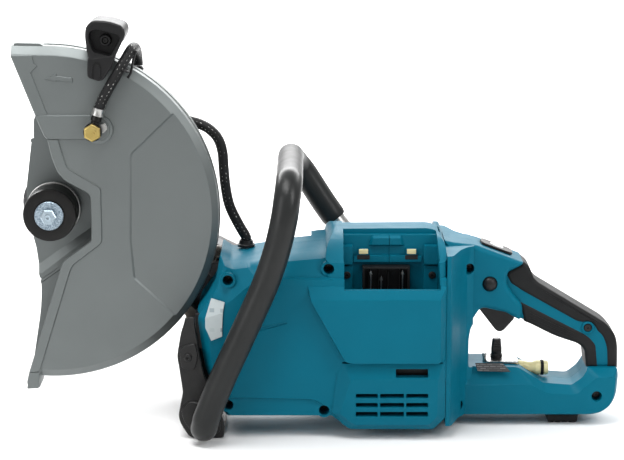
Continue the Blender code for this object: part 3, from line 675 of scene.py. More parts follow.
def braided_hose():
    """Black braid with rows of short white tracer threads along it."""
    made, tree, shader = blank("braided_hose")
    uv = node(tree, "ShaderNodeUVMap", uv_map="UVMap")
    parts = node(tree, "ShaderNodeSeparateXYZ")
    tree.links.new(uv.outputs["UV"], parts.inputs[0])
    along, around = parts.outputs[0], parts.outputs[1]
    rows = maths(tree, "MULTIPLY", around, float(BRAID_ROWS))
    line = maths(tree, "ABSOLUTE", maths(tree, "SUBTRACT", maths(tree, "FRACT", rows), 0.5))
    thin = maths(tree, "LESS_THAN", line, DASH_WIDTH)
    shift = maths(tree, "MULTIPLY", maths(tree, "FLOOR", rows), ROW_SHIFT)
    phase = maths(tree, "ADD", maths(tree, "DIVIDE", along, DASH_PITCH), shift)
    dash = maths(tree, "LESS_THAN", maths(tree, "FRACT", phase), DASH_SHARE)
    worn = spread(tree, noise_at(tree, 210.0, 2.0), -0.9, 1.3)
    tracer = maths(tree, "MULTIPLY", maths(tree, "MULTIPLY", thin, dash), worn)
    colour = mixed(tree, tracer, (0.006, 0.006, 0.0065), (0.50, 0.50, 0.48))
    tree.links.new(colour, shader.inputs["Base Color"])
    shader.inputs["Roughness"].default_value = 0.40
    shader.inputs["Specular IOR Level"].default_value = 0.25
    twist = maths(tree, "MULTIPLY", along, 2 * math.pi / WEAVE_PITCH)
    spin = maths(tree, "MULTIPLY", around, 2 * math.pi * WEAVE_STRANDS)
    left = maths(tree, "SINE", maths(tree, "ADD", twist, spin))
    right = maths(tree, "SINE", maths(tree, "SUBTRACT", twist, spin))
    relief(tree, shader, maths(tree, "MULTIPLY", left, right), 0.5, 0.0003)
    return made


def barred_label(name, ground, ink, spacing, rows):
    """Plate printed with plain bars, which stand in for wording."""
    made, tree, shader = blank(name)
    place = node(tree, "ShaderNodeTexCoord")
    mapping = node(tree, "ShaderNodeMapping")
    mapping.inputs["Rotation"].default_value = (math.radians(90), 0, 0)
    bricks = node(tree, "ShaderNodeTexBrick", Scale=1.0)
    bricks.inputs["Color1"].default_value = (*ink, 1.0)
    bricks.inputs["Color2"].default_value = (*ground, 1.0)
    bricks.inputs["Mortar"].default_value = (*ground, 1.0)
    bricks.inputs["Mortar Size"].default_value = rows * 0.32
    bricks.inputs["Brick Width"].default_value = spacing
    bricks.inputs["Row Height"].default_value = rows
    tree.links.new(place.outputs["Object"], mapping.inputs["Vector"])
    tree.links.new(mapping.outputs["Vector"], bricks.inputs["Vector"])
    tree.links.new(bricks.outputs["Color"], shader.inputs["Base Color"])
    shader.inputs["Roughness"].default_value = 0.42
    relief(tree, shader, noise_at(tree, 1500.0, 2.0), 0.1, 0.0002)
    return made


def make_finishes():
    """Every finish by a plain name."""
    return {
        "teal": surface("moulded_teal", (0.0003, 0.118, 0.182), (0.0003, 0.110, 0.171), 0.46,
                        depth=0.10, patch=14.0, specular=0.09),
        # Darker copy of the same teal moulding for the parts inside the saw: painted shade, not a different plastic.
        "teal_painted_shade": surface("moulded_teal_painted_shade", (0.001, 0.090, 0.138),
                             (0.001, 0.076, 0.118), 0.45, depth=0.10, patch=20.0,
                             specular=0.2),
        "cast": surface("painted_casting", (0.150, 0.166, 0.165), (0.138, 0.153, 0.152), 0.42,
                        0.55, 1500.0, 0.16, 9.0),
        "rubber": surface("grip_rubber", (0.010, 0.0105, 0.011), (0.014, 0.0145, 0.015), 0.50,
                          grain=1500.0, depth=0.35, patch=40.0, specular=0.14),
        "sleeve": surface("handle_sleeve", (0.012, 0.013, 0.013), (0.016, 0.017, 0.017), 0.36,
                          grain=2200.0, depth=0.10, patch=18.0, specular=0.28),
        "black_steel": surface("blackened_steel", (0.012, 0.012, 0.0125), (0.017, 0.017, 0.0165),
                               0.38, 0.15, 900.0, 0.22, 60.0, specular=0.3),
        "black": surface("black_plastic", (0.006, 0.006, 0.0065), (0.009, 0.009, 0.0095), 0.40,
                         grain=1600.0, depth=0.22, patch=50.0, specular=0.28),
        "steel": turned_metal("bright_steel", (0.50, 0.50, 0.49), (0.38, 0.38, 0.37), 0.30),
        "flange_black": surface("flange_black", (0.004, 0.004, 0.004), (0.007, 0.0065, 0.006),
                                0.32, 0.2, 700.0, 0.12, 90.0, (1, 5, 1),
                                specular=0.3),
        "zinc": zinc_plate(),
        "zinc_plain": turned_metal("zinc_bolt", (0.46, 0.54, 0.60), (0.34, 0.42, 0.48), 0.30),
        "brass": turned_metal("machined_brass", (0.60, 0.46, 0.17), (0.50, 0.37, 0.12), 0.30),
        "cream": surface("cream_plastic", (0.72, 0.66, 0.38), (0.60, 0.54, 0.28), 0.38,
                         depth=0.10, patch=60.0),
        "white": surface("white_plastic", (0.74, 0.75, 0.76), (0.62, 0.64, 0.66), 0.35,
                         depth=0.08, patch=80.0),
        "copper": surface("copper_windings", (0.60, 0.26, 0.12), (0.36, 0.13, 0.06), 0.34, 0.9,
                          500.0, 0.6, 120.0, (1, 0.1, 1)),
        "dark_metal": surface("dark_casting", (0.060, 0.060, 0.064), (0.085, 0.084, 0.086),
                              0.44, 0.5, 900.0, 0.30, 40.0),
        "bronze": surface("bronze_casting", (0.16, 0.145, 0.125), (0.10, 0.092, 0.082), 0.36,
                          0.8, 900.0, 0.25, 60.0),
        "hose": braided_hose(),
        "label": barred_label("black_label", (0.020, 0.020, 0.021), (0.16, 0.16, 0.16),
                              0.0075, 0.0019),
        "sticker": barred_label("silver_sticker", (0.40, 0.45, 0.46), (0.20, 0.25, 0.27),
                                0.0120, 0.0110),
    }


FINISH = make_finishes()
NODE_FINISH = {
    "teal_plastic": "teal_painted_shade", "cast_grey": "cast", "rubber": "rubber",
    "black_steel": "black_steel", "black_plastic": "black", "steel": "steel",
    "zinc_steel": "zinc_plain", "brass": "brass", "cream_plastic": "cream",
    "white_plastic": "white", "wound_core": "copper", "dark_metal": "dark_metal",
}
SLOTS = {finish: slot for slot, finish in NODE_FINISH.items()}
SLOTS.update({
    "teal": "teal_plastic", "sleeve": "rubber", "hose": "rubber", "flange_black": "black_steel",
    "zinc": "zinc_steel", "bronze": "dark_metal", "label": "black_plastic",
    "sticker": "white_plastic",
})


def dress_nodes():
    """Puts the finish of its slot on every part of the frame."""
    for entry in frame["record"]["subparts"]:
        item = frame["nodes"][entry["node"]]
        finish = FINISH[NODE_FINISH[entry["material_slot"]]]
        for index in range(len(item.data.materials)):
            item.data.materials[index] = finish
        if not item.data.materials:
            item.data.materials.append(finish)


# --- camera, light and floor -----------------------------------------------------------------

SENSOR_WIDTH = 36.0              # millimetres, as is the lens
LENS = 118.269231
VIEW_DISTANCE = 2.35             # metres, as is the height the camera looks at
VIEW_RISE = math.radians(12.0)
AIM_HEIGHT = 0.222


def make_camera():
    data = bpy.data.cameras.new("camera")
    data.sensor_width = SENSOR_WIDTH
    data.lens = LENS
    camera = bpy.data.objects.new("camera", data)
    bpy.context.collection.objects.link(camera)
    camera.location = (DRAWING_X, -VIEW_DISTANCE * math.cos(VIEW_RISE),
                       AIM_HEIGHT + VIEW_DISTANCE * math.sin(VIEW_RISE))
    camera.rotation_euler = (math.pi / 2 - VIEW_RISE, 0, 0)
    bpy.context.scene.camera = camera


WORLD_LIGHT = 0.42
FLOOR_HALF = 9.0
SOFT_LIGHTS = (                  # name, place, aim, width and height in metres, watts
    ("top_softbox", (-0.35, -0.45, 1.7), (0, 0, 0.1), (1.2, 0.6), 23.0),
    ("left_softbox", (-1.5, -1.3, 0.9), (0, 0, 0.2), (0.9, 1.2), 11.0),
    ("right_strip", (1.2, -0.9, 1.2), (-0.1, 0, 0.25), (0.5, 1.0), 12.0),
    ("near_wash", (0.0, 1.9, 1.5), (0, 1.5, 0.0), (4.0, 1.4), 80.0),
    ("far_wash", (0.0, 5.0, 2.2), (0, 4.6, 0.0), (8.0, 3.0), 420.0),
)


def soft_light(name, place, aim, size, power):
    data = bpy.data.lights.new(name, "AREA")
    data.shape = "RECTANGLE"
    data.size, data.size_y = size
    data.energy = power
    lamp = bpy.data.objects.new(name, data)
    lamp.location = place
    lamp.rotation_euler = (Vector(aim) - Vector(place)).to_track_quat("-Z", "Y").to_euler()
    bpy.context.collection.objects.link(lamp)


def make_studio():
    world = bpy.data.worlds.new("studio")
    bpy.context.scene.world = world
    world.use_nodes = True
    back = world.node_tree.nodes["Background"]
    back.inputs["Color"].default_value = (1.0, 1.0, 1.0, 1.0)
    back.inputs["Strength"].default_value = WORLD_LIGHT
    for light in SOFT_LIGHTS:
        soft_light(*light)
    bm = bmesh.new()
    bmesh.ops.create_grid(bm, x_segments=2, y_segments=2, size=FLOOR_HALF)
    bmesh.ops.translate(bm, vec=(0, 4.0, -0.0005), verts=bm.verts)
    floor = loose("floor", bm)
    floor.data.materials.append(surface("pale_floor", (0.90, 0.90, 0.90), (0.88, 0.88, 0.88),
                                        0.85, grain=60.0, depth=0.02, patch=3.0, specular=0.1))
    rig.stage(floor)
    bpy.context.scene.view_settings.view_transform = "Standard"


# --- hoses -------------------------------------------------------------------------------------

HOSE_MAIN = [(-76, 13, 208.2), (-76.8, 13, 212.5), (-84.5, 13, 226), (-94.6, 13, 247.6),
             (-99.2, 13, 270), (-101.2, 13, 292.6), (-102.5, 13, 311), (-107.5, 13, 326.3),
             (-117.5, 13, 337.2), (-130.3, 13, 343.7), (-144, 13, 347.5), (-160, 13, 353),
             (-175, 13, 364), (-186, 13, 378.5), (-192.8, 13, 390.2)]
HOSE_NEAR = [(-237.7, -52, 363.8), (-236.4, -52, 368.5), (-230, -53, 383), (-219, -54, 402),
             (-208.5, -52, 420), (-201.5, -45, 432), (-198.5, -32, 435.5), (-197.8, -17, 434),
             (-197.5, -3, 429), (-197.5, 8, 422.5), (-197.5, 13, 415), (-197.5, 13, 410.0)]
HOSE_FAR = [(-207.7, 13, 396.3), (-213, 13, 394.4), (-225, 13, 387), (-234, 13, 375),
            (-236.4, 13, 368.5), (-237.7, 13, 363.8)]
HOSE_RADIUS = 0.0060


def route_length(route):
    return sum((b - a).length for a, b in zip(route, route[1:]))


def make_hose(name, points, body):
    route = smooth_route(points)
    hose = loose(name + "_braid", swept(route, HOSE_RADIUS, 20))
    hose.data.materials.append(FINISH["hose"])
    hose.data.shade_smooth()
    hose.data.set_sharp_from_angle(angle=math.radians(SMOOTH_ANGLE))
    if body:
        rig.ride(hose, body)
    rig.replaces(hose, name)
    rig.slot(hose, SLOTS["hose"])
    return hose, route


def declare_hose(hose, route):
    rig.cord(hose, exit=route[0], length=route_length(route), diameter=2 * HOSE_RADIUS,
            far_end="object", stiffness="medium", lay="taut", path=route)


def make_hoses():
    """The feed from the housing to the tee, the branch over the rim and the short far branch."""
    feed, route = make_hose("hose_main", HOSE_MAIN, None)
    declare_hose(feed, route)
    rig.blend(feed, "saw", "guard", start=route[0], end=route[-1])
    declare_hose(*make_hose("hose_near", HOSE_NEAR, "guard"))
    make_hose("hose_far", HOSE_FAR, "guard")


# --- wheel guard -----------------------------------------------------------------------------

GUARD_RADIUS = 190.0
GUARD_INSIDE = 187.0
NEAR_FACE = -42.0
SEAM = -19.5
CUT_EDGE = [(-307, 358.3), (-295.4, 334.6), (-290.5, 312, 8), (-284.2, 296.1, 8),
            (-277.7, 287.5, 8), (-248.9, 271.7, 5), (-248.1, 218.8, 4), (-281.4, 195.1, 7),
            (-323.3, 63.9, 2)]
FLANGE_LINE = [(-310.7, 65.7, 1), (-271.1, 189.4, 6), (-236.1, 216, 5), (-236.4, 279, 4),
               (-273.5, 301.4, 4), (-283, 334.6, 1)]
PANEL_LINE = [(-157.8, 135.1, 0), (-200.5, 175.4, 3), (-203.9, 219.4, 2), (-202.1, 317, 4),
              (-156.3, 361, 0)]
FRONT_STRIP = [(-333.2, 428.4), (-307.2, 361.0), (-293.6, 361.0), (-311.2, 409.0),
               (-303.8, 416.5), (-307.6, 419.6), (-309.2, 428.4)]
NOZZLE = (-243.0, 344.5)


def rim_outline(radius, edge):
    """Guard outline: the open front edge, the foot of the deflector and the rim at a radius."""
    drop = GUARD_RADIUS - radius
    rim = arc(SPINDLE, radius, -94.5, 90, 64)
    front = [(-333.5, 438.6 - drop, 0), (-333.1, 436.5 - drop, 0)]
    tail = [(-326.1, 43.7 + drop * 0.8, 2), (-312, 44.5 + drop * 0.8, 2), (-310.3, 53.2 + drop, 0)]
    return rounded(front + edge + tail, 2.0, 3) + rim


def raised(outline, height, slope):
    """Low step on the near face with a sloped edge."""
    return lofted([(NEAR_FACE + 1.0, outline), (NEAR_FACE - height * 0.25, outline),
                   (NEAR_FACE - height, grown(outline, -slope))])


def hollow_disc(layers):
    """Solid round the wheel axis through (y, radius) layers, which hollows out the guard."""
    return lofted([(level, arc(SPINDLE, radius, 0, 354, 59)) for level, radius in layers])


def turn_arrow():
    head = [(-296, 402.2), (-283, 408.4), (-283, 405.2), (-265, 403.4), (-265, 398.2),
            (-283, 400.2), (-283, 398.6)]
    return raised(head, 0.9, 0.5)


def make_guard_near():
    layers = [(SEAM - HALF_GAP, GUARD_RADIUS), (-33.2, GUARD_RADIUS), (-34.6, 189.4),
              (-41.2, 181.4), (NEAR_FACE, 179.8)]
    shape = lofted([(level, rim_outline(radius, CUT_EDGE)) for level, radius in layers])
    guard = loose("near_guard_casting", shape)
    hollow = [(-2.0, GUARD_INSIDE), (-33.0, GUARD_INSIDE), (-37.0, 183.0), (-39.2, 176.0)]
    cut(guard, hollow_disc(hollow))
    bowl = rounded(PANEL_LINE, 3, 4) + arc(SPINDLE, GUARD_INSIDE, 39.5, -39.5, 40)
    cut(guard, lofted([(NEAR_FACE - 2.0, grown(bowl, 3.2)), (NEAR_FACE - 0.02, grown(bowl, 1.6)),
                       (NEAR_FACE + 1.5, grown(bowl, -0.6))]))
    flange = rounded([(x, z, corner[0] if corner else 2) for x, z, *corner in CUT_EDGE[1:]]
                     + FLANGE_LINE, 2, 4)
    add(guard, raised(flange, 1.7, 1.0))
    add(guard, raised(FRONT_STRIP, 1.2, 0.7))
    band = [(-308.6, 361.8), (-243.0, 361.8), (-228.5, 352), (-227.5, 338), (-236, 330.5),
            (-247, 331), (-253.1, 334.0), (-297.2, 334.0)]
    add(guard, raised(rounded(band, 6, 4), 2.2, 1.0))
    add(guard, turn_arrow())
    foot = rounded([(-325.8, 45.5), (-312.4, 46.2), (-310.8, 64.5), (-323.2, 64.5)], 1.5, 3)
    add(guard, pillow(foot, NEAR_FACE + 0.6, NEAR_FACE - 1.7, 0.8, 3))
    finish_piece(guard, "cast", "guard", ["guard_near"], 0.45, 24)


FAR_EDGE = [(-308.6, 363.9), (-315.5, 350.5, 3), (-316.5, 313.6, 8), (-324, 270.6, 12),
            (-324, 240, 20), (-313, 189, 10), (-311.3, 139.8, 30), (-323.3, 68, 2)]


def make_guard_far():
    layers = [(SEAM + HALF_GAP, GUARD_RADIUS), (-4.0, GUARD_RADIUS), (-1.0, 188.6), (3.0, 184.6)]
    guard = loose("far_guard_casting",
                  lofted([(level, rim_outline(radius, FAR_EDGE)) for level, radius in layers]))
    cut(guard, hollow_disc([(-30.0, GUARD_INSIDE), (-4.0, GUARD_INSIDE), (0.0, 183.5)]))
    pocket = [(-345, 335), (-314.8, 322), (-295.9, 305.4), (-225, 266), (-225, 243),
              (-253.3, 224.3), (-311.7, 183.2), (-345, 160)]
    low = pocket[:4] + [(-225, 228), (-253.6, 210.3), (-312.2, 165.5), (-345, 142)]
    bulge = rounded([(-318.0, 327), (-312, 326), (-292.5, 310), (-221, 270), (-221, 231),
                     (-246, 212), (-312, 166), (-316, 200), (-325.5, 240), (-325.5, 271)], 4, 3)
    add(guard, lofted([(1.0, grown(bulge, 2.0)), (5.5, grown(bulge, 1.0)), (7.6, bulge)]))
    cut(guard, lofted([(-6.0, low), (-2.0, low), (5.0, pocket)]))
    ridge = rounded([(-312.6, 163.5), (-236, 217.5), (-236, 213.5), (-312.6, 159.5)], 0.8, 2)
    add(guard, lofted([(1.0, ridge), (-1.2, ridge), (-2.0, grown(ridge, -0.8))]))
    cut(guard, rod(23.0, SPINDLE, -12, 14))
    for angle in range(-70, 81, 30):
        centre = arc(SPINDLE, 168.0, angle, angle, 1)[0]
        add(guard, turned([(0, 1.0), (7.0, 1.0), (6.0, 4.6), (0, 4.6)],
                          middle_spot(centre), segments=24))
    finish_piece(guard, "cast", "guard", ["guard_far"], 0.45, 24)
    strip = rounded([(-330.7, 436), (-330.5, 440.4), (-327.2, 441.0), (-301.7, 440.4),
                     (-296.0, 436.5)], 1.0, 3)
    piece("guard_top_strip", prism(strip, -34.0, -6.0), "cast", "guard", edge=0.8)
    lip = arc(SPINDLE, 191.2, -92, 96, 60) + arc(SPINDLE, 188.0, 96, -92, 60)
    bead = lofted([(SEAM - 2.2, grown(lip, -0.4)), (SEAM - 1.2, lip), (SEAM + 1.2, lip),
                   (SEAM + 2.2, grown(lip, -0.4))])
    piece("guard_seam_bead", bead, "cast", "guard")


HOOD = [(-245.6, 424, 6), (-249.2, 450, 14), (-248, 462, 8), (-240, 469.2, 6),
        (-221.5, 467.8, 10), (-206.9, 462.5, 8), (-203.9, 453, 8), (-211.1, 439.9, 10),
        (-216.5, 428, 4)]
HOOD_HOLLOW = [(-240.5, 434, 3), (-245.2, 449, 10), (-243.8, 456.8, 4), (-236, 459.4, 6),
               (-213.0, 453.6, 5), (-209.8, 449, 4), (-216.5, 437, 6), (-221, 429, 3)]
STEM = [(-246.4, 428, 3), (-213.8, 436, 3), (-219.8, 418, 6), (-229.8, 403.0, 4),
        (-234.5, 401.4, 4), (-247.0, 405.6, 3), (-247.2, 412, 2)]


def make_guard_grip():
    grip = loose("grip_moulding", pillow(rounded(HOOD, 6, 5), -8.0, -60.0, 3.0))
    add(grip, pillow(rounded(STEM, 3, 5), NEAR_FACE - 0.4, -59.2, 1.6))
    hollow = rounded(HOOD_HOLLOW, 4, 5)
    cut(grip, lofted([(-62.0, grown(hollow, 0.6)), (-59.6, hollow), (-47.0, grown(hollow, -1.2))]))
    cut(grip, box((-262, NEAR_FACE - 0.35, 380), (-190, 10, 442.6)))
    pit = (-227.3, 446.0)
    add(grip, turned([(0, -45.0), (7.2, -45.0), (6.4, -53.0), (5.4, -53.8), (0, -53.8)],
                     middle_spot(pit), segments=32))
    cut(grip, turned([(0, -56.0), (3.9, -56.0), (3.6, -48.5), (0, -48.5)],
                     middle_spot(pit), segments=24))
    arch = [(-241.4, 404), (-241.2, 417, 2), (-238.4, 423.5, 4), (-233.4, 423.5, 4),
            (-230.9, 417, 2), (-231.2, 404)]
    groove = rounded(arch, 1.0, 4) + rounded([(-232.9, 404), (-232.6, 416, 2), (-234.4, 421.4, 3),
                                             (-237.6, 421.4, 3), (-239.6, 416, 2),
                                             (-239.8, 404)], 1.0, 4)
    cut(grip, prism(groove, -62.0, -58.2))
    finish_piece(grip, "black", "guard", ["guard_grip"], 0.5, MOULD_ANGLE)
    screw = loose("grip_screw_head", turned([(0, -44.0), (3.3, -44.0), (3.3, -51.4),
                                             (2.7, -52.0), (0, -52.0)],
                                            middle_spot(pit), segments=24))
    cut(screw, prism(star(pit, 1.9, 1.2), -53.5, -50.8))
    finish_piece(screw, "black_steel", "guard", ["guard_grip_screw"])
    tail = smooth_route([(-203.5, -50, 404), (-199.9, -48, 410.6), (-197.4, -47, 423.9),
                         (-193.9, -46, 433.9)], 5)
    piece("tie_tail", swept(tail, 0.0014, 8), "black", "guard")
    band = smooth_route([(-208.0, -59.6, 415), (-204.2, -58.2, 412.8), (-202.2, -50.5, 411.6),
                         (-206, -45.5, 414), (-213, -47.5, 419)], 5)
    piece("tie_band", swept(band, 0.0015, 8), "black", "guard")


# --- wheel clamp -----------------------------------------------------------------------------

def make_clamp():
    place = middle_spot(SPINDLE)
    ring = [(7.9, -7.3), (29.4, -7.3), (30.0, -8.2), (30.0, -42.5), (29.4, -44.6),
            (27.6, -45.5), (17.4, -45.2), (17.0, -44.4), (7.9, -44.4)]
    piece("outer_flange_turned", turned(ring, place, segments=96), "flange_black", "spindle",
          ["outer_flange"], angle=TURNED_ANGLE)
    collar = [(7.9, -7.0), (29.8, -7.0), (31.0, -6.2), (31.0, -4.4), (29.6, -4.2),
              (29.6, -3.4), (12.0, -3.2), (12.0, 3.4), (7.9, 3.4)]
    piece("inner_flange_turned", turned(collar, place, segments=96), "steel", "spindle",
          ["inner_flange"], angle=TURNED_ANGLE)
    disc = [(4.7, -45.8), (15.9, -45.8), (16.3, -46.2), (16.3, -47.9), (15.7, -48.5),
            (4.7, -48.5)]
    piece("clamp_washer", turned(disc, place, segments=72), "zinc", "spindle", ["flange_washer"],
          angle=TURNED_ANGLE)
    hexagon = arc(SPINDLE, 9.4, 0, 300, 5)
    head = loose("clamp_bolt_head", lofted([(-48.8, hexagon), (-54.6, hexagon),
                                            (-55.5, grown(hexagon, -1.3))]))
    cut(head, turned([(0, -58.0), (4.6, -58.0), (4.0, -55.0), (0, -55.0)], place, segments=32))
    add(head, turned([(0, -54.0), (2.6, -55.4), (4.9, -55.2), (5.6, -54.2), (5.6, -50.0),
                      (0, -50.0)], place, segments=32))
    add(head, rod(4.0, SPINDLE, -16.5, -50.0, 24))
    finish_piece(head, "zinc_plain", "spindle", ["spindle_bolt"], 0.3)
    inner = [(18.6, -3.2), (28.4, -3.2), (29.0, -2.6), (29.0, -0.3), (18.6, -0.3)]
    piece("guard_retainer_ring", turned(inner, place, segments=96), "steel", "saw",
          ["guard_retainer"], angle=TURNED_ANGLE)


# --- water nozzles ---------------------------------------------------------------------------

SPIGOT_TURN = math.radians(15.5)


def make_nozzle(name, side, face, tip):
    """Banjo bolt, seal and hose spigot on one side of the guard."""
    def out(distance):
        """The y at a distance outside the guard's face."""
        return face + side * distance

    place = middle_spot(NOZZLE)
    root = spot(NOZZLE[0], out(10.0), NOZZLE[1])
    lean = (math.sin(SPIGOT_TURN), 0, math.cos(SPIGOT_TURN))
    hexagon = arc(NOZZLE, 10.2, 30, 330, 5)
    head = loose(name + "_bolt", lofted([(out(15.2), hexagon), (tip - side * 1.3, hexagon),
                                         (tip, grown(hexagon, -1.5))]))
    add(head, rod(6.6, NOZZLE, out(0.4), out(16.0), 40))
    finish_piece(head, "brass", "guard", [name], 0.3, MOULD_ANGLE)
    seal = [(6.8, out(14.9)), (10.3, out(14.7)), (10.3, out(13.0)), (6.8, out(12.8))]
    piece(name + "_seal", turned(seal, place, segments=48), "black", "guard")
    eye = [(0, out(4.6)), (9.6, out(4.6)), (10.0, out(5.4)), (10.0, out(12.0)),
           (9.4, out(12.8)), (0, out(12.8))]
    banjo = loose(name + "_banjo", turned(eye, place, segments=48))
    spigot = [(0, 2.0), (5.0, 2.0), (5.0, 12.0), (6.2, 13.0), (6.2, 15.0), (5.4, 19.3),
              (0, 19.3)]
    add(banjo, turned(spigot, root, lean, 32))
    finish_piece(banjo, "flange_black", "guard")
    sleeve = [(6.15, 18.6), (7.3, 18.9), (7.3, 20.6), (6.95, 21.2), (6.95, 25.2), (7.3, 25.8),
              (7.3, 27.2), (6.15, 27.5)]
    piece(name + "_crimp", turned(sleeve, root, lean, 48), "steel", "guard", angle=TURNED_ANGLE)
    if side < 0:
        base = [(0, NEAR_FACE + 1.0), (16.5, NEAR_FACE + 1.0), (15.8, NEAR_FACE - 2.9),
                (12.8, NEAR_FACE - 3.3), (12.4, NEAR_FACE - 4.4), (0, NEAR_FACE - 4.4)]
        shifted = spot(NOZZLE[0] + 5.5, 0, NOZZLE[1] + 1.0)
        piece("nozzle_boss", turned(base, shifted, segments=56), "cast", "guard")
        ear = rounded([(-236.5, 352), (-229.5, 354), (-226.5, 347), (-232, 342), (-238, 345)],
                      2, 3)
        piece("nozzle_clamp_ear", pillow(ear, NEAR_FACE - 4.0, NEAR_FACE - 8.5, 0.8), "steel",
              "guard")


def make_water_fittings():
    make_nozzle("nozzle_near", -1, NEAR_FACE, -63.0)
    make_nozzle("nozzle_far", 1, 7.6, 24.5)
    tee_profile = [(0, -9.0), (5.6, -9.0), (6.9, -7.6), (6.9, -5.2), (6.3, -4.6), (6.3, 4.6),
                   (6.9, 5.2), (6.9, 7.6), (5.6, 9.0), (0, 9.0)]
    centre = spot(-197.5, 13, 400)
    tee = loose("hose_tee_moulding", turned(tee_profile, centre, (0, 0, 1), 36))
    for degrees in (152, -110):
        lean = (math.sin(math.radians(degrees)), 0, math.cos(math.radians(degrees)))
        add(tee, turned([(0, 0.0), (6.1, 0.0), (6.1, 6.8), (6.6, 7.2), (6.6, 9.2), (6.0, 9.8),
                         (0, 9.8)], centre, lean, 32))
    finish_piece(tee, "black", "guard", ["hose_tee"])
    gland = [(6.3, 0.3), (10.0, 0.3), (10.0, 2.6), (9.2, 3.4), (8.6, 3.6), (7.6, 7.8),
             (6.3, 7.8)]
    piece("hose_gland_moulding", turned(gland, spot(-76, 13, 200.1), (0, 0, 1), 40), "black",
          "saw", ["hose_gland"], angle=TURNED_ANGLE)


# --- housing ---------------------------------------------------------------------------------

HOUSE = [(-97, 22.5), (28, 22.5), (42, 10.7), (137, 10.7), (150, 22.5), (150, 212),
         (135, 214), (35.5, 214), (20.6, 213), (14.9, 211), (-25.3, 206.7), (-71, 199.1),
         (-91, 197.3), (-103, 205.5), (-109, 173), (-118.2, 156.9), (-129.5, 140.8),
         (-130.7, 134), (-125.7, 99.2), (-120.8, 74.8), (-103.7, 30.3)]
HOUSE_SHOULDER = [(-96, 23), (28, 23), (42, 11.5), (137, 11.5), (149.5, 23), (149.5, 209),
                  (135, 211), (35.5, 211), (20.6, 210), (14.9, 205.5), (-25.3, 201.8),
                  (-69, 195), (-88, 192.5), (-98, 197), (-106, 170), (-115.2, 154.9),
                  (-126.5, 139.4), (-127.5, 134), (-123, 99.2), (-118, 75.5), (-102, 31.5)]
HOUSE_SIDE = [(-92, 26.5), (29.5, 26.5), (43, 15), (136, 15), (147, 26), (147, 180),
              (135, 182), (35.5, 182), (20.6, 182.5), (14.9, 183.2), (-25.3, 185.8),
              (-60, 186.8), (-78, 172.5), (-86, 165), (-96, 157), (-105, 146),
              (-117, 135.5), (-118, 131.5), (-115, 99.4), (-111, 78), (-97, 34)]
TOWER = [(15.2, 130), (14.9, 206, 6), (16.5, 217, 10), (24, 227.3, 12), (135, 228.0, 14),
         (149.6, 221, 12), (150, 130)]
PANEL_FOOT = [(-5.5, 178.5, 1), (-3.2, 163), (35, 90, 5), (43, 87, 4), (145, 87, 4),
              (149.5, 93, 4), (149.6, 164), (149.6, 178.5, 1)]
PANEL_WALL = [(-4.6, 176.6, 1), (-2.4, 163), (35.8, 91, 5), (43.4, 88.2, 4), (144.6, 88.2, 4),
              (148.6, 94, 4), (148.8, 164), (149.4, 176.6, 1)]
PANEL_FACE = [(-1.5, 163.4, 1), (-0.9, 161.6), (37.2, 92, 5), (44.4, 90, 4), (141.6, 90, 4),
              (143.3, 93, 2), (143.3, 161.6), (142.9, 163.4, 1)]
BELLY_FOOT = [(22, 26), (42.5, 11), (136.5, 11), (149.6, 24), (149.6, 91), (30, 91)]
BELLY_WALL = [(27, 29), (45, 14.5), (134, 14.5), (146.5, 27), (146.5, 89), (36, 89)]
BELLY_FACE = [(31, 31), (47, 18), (132, 18), (140.5, 28), (141, 71.5), (43, 71.5)]
LEDGE_FOOT = [(-34, 186), (-30.5, 160, 20), (22, 74, 14), (33, 66), (150, 66), (150, 186)]
LEDGE_FACE = [(-12, 184), (-9, 162, 12), (31, 88, 10), (39, 82), (148, 82), (148, 184)]
PILLARS = [(-93.6, 182.1), (18.5, 195.3), (-94.3, 38.2), (13.6, 32.0)]
VENT_X = [(49.2, 73.5), (76.4, 103), (105.6, 129.9)]
VENT_Z = [(28.0, 33.2), (38.8, 43.6), (49.6, 54.2)]
WINDOW = (93.6, 129.9, 72.8, 82.4)
CAVITY = [(-93, 26), (27, 26), (45, 14), (134, 14), (146, 25), (146, 90), (30.5, 90),
          (30.5, 206), (14, 206), (-25, 201), (-71, 193.5), (-84, 190), (-98, 170),
          (-108, 154), (-119, 139), (-119, 130), (-115, 100), (-110, 78), (-96, 34)]
CAVITY_SIDE = [(-88, 33), (27, 31), (45, 18), (134, 18), (142, 28), (142, 90), (30.5, 90),
               (30.5, 177), (14, 177), (-25, 180), (-58, 181), (-73, 169), (-81, 160),
               (-91, 151), (-101, 141), (-111, 132), (-109, 100), (-105, 82), (-91, 40)]


def soft(outline, radius=3.0):
    """The outline with the small corner curves of the housing."""
    return rounded(outline, radius, 3)


def boss(foot, wall, face, levels):
    """Raised area of the side: a foot, a slope to the wall, then the face with its turned edge."""
    outlines = (soft(foot), soft(foot), soft(wall), soft(face), grown(soft(face), -0.8))
    return lofted(list(zip(levels, outlines)))


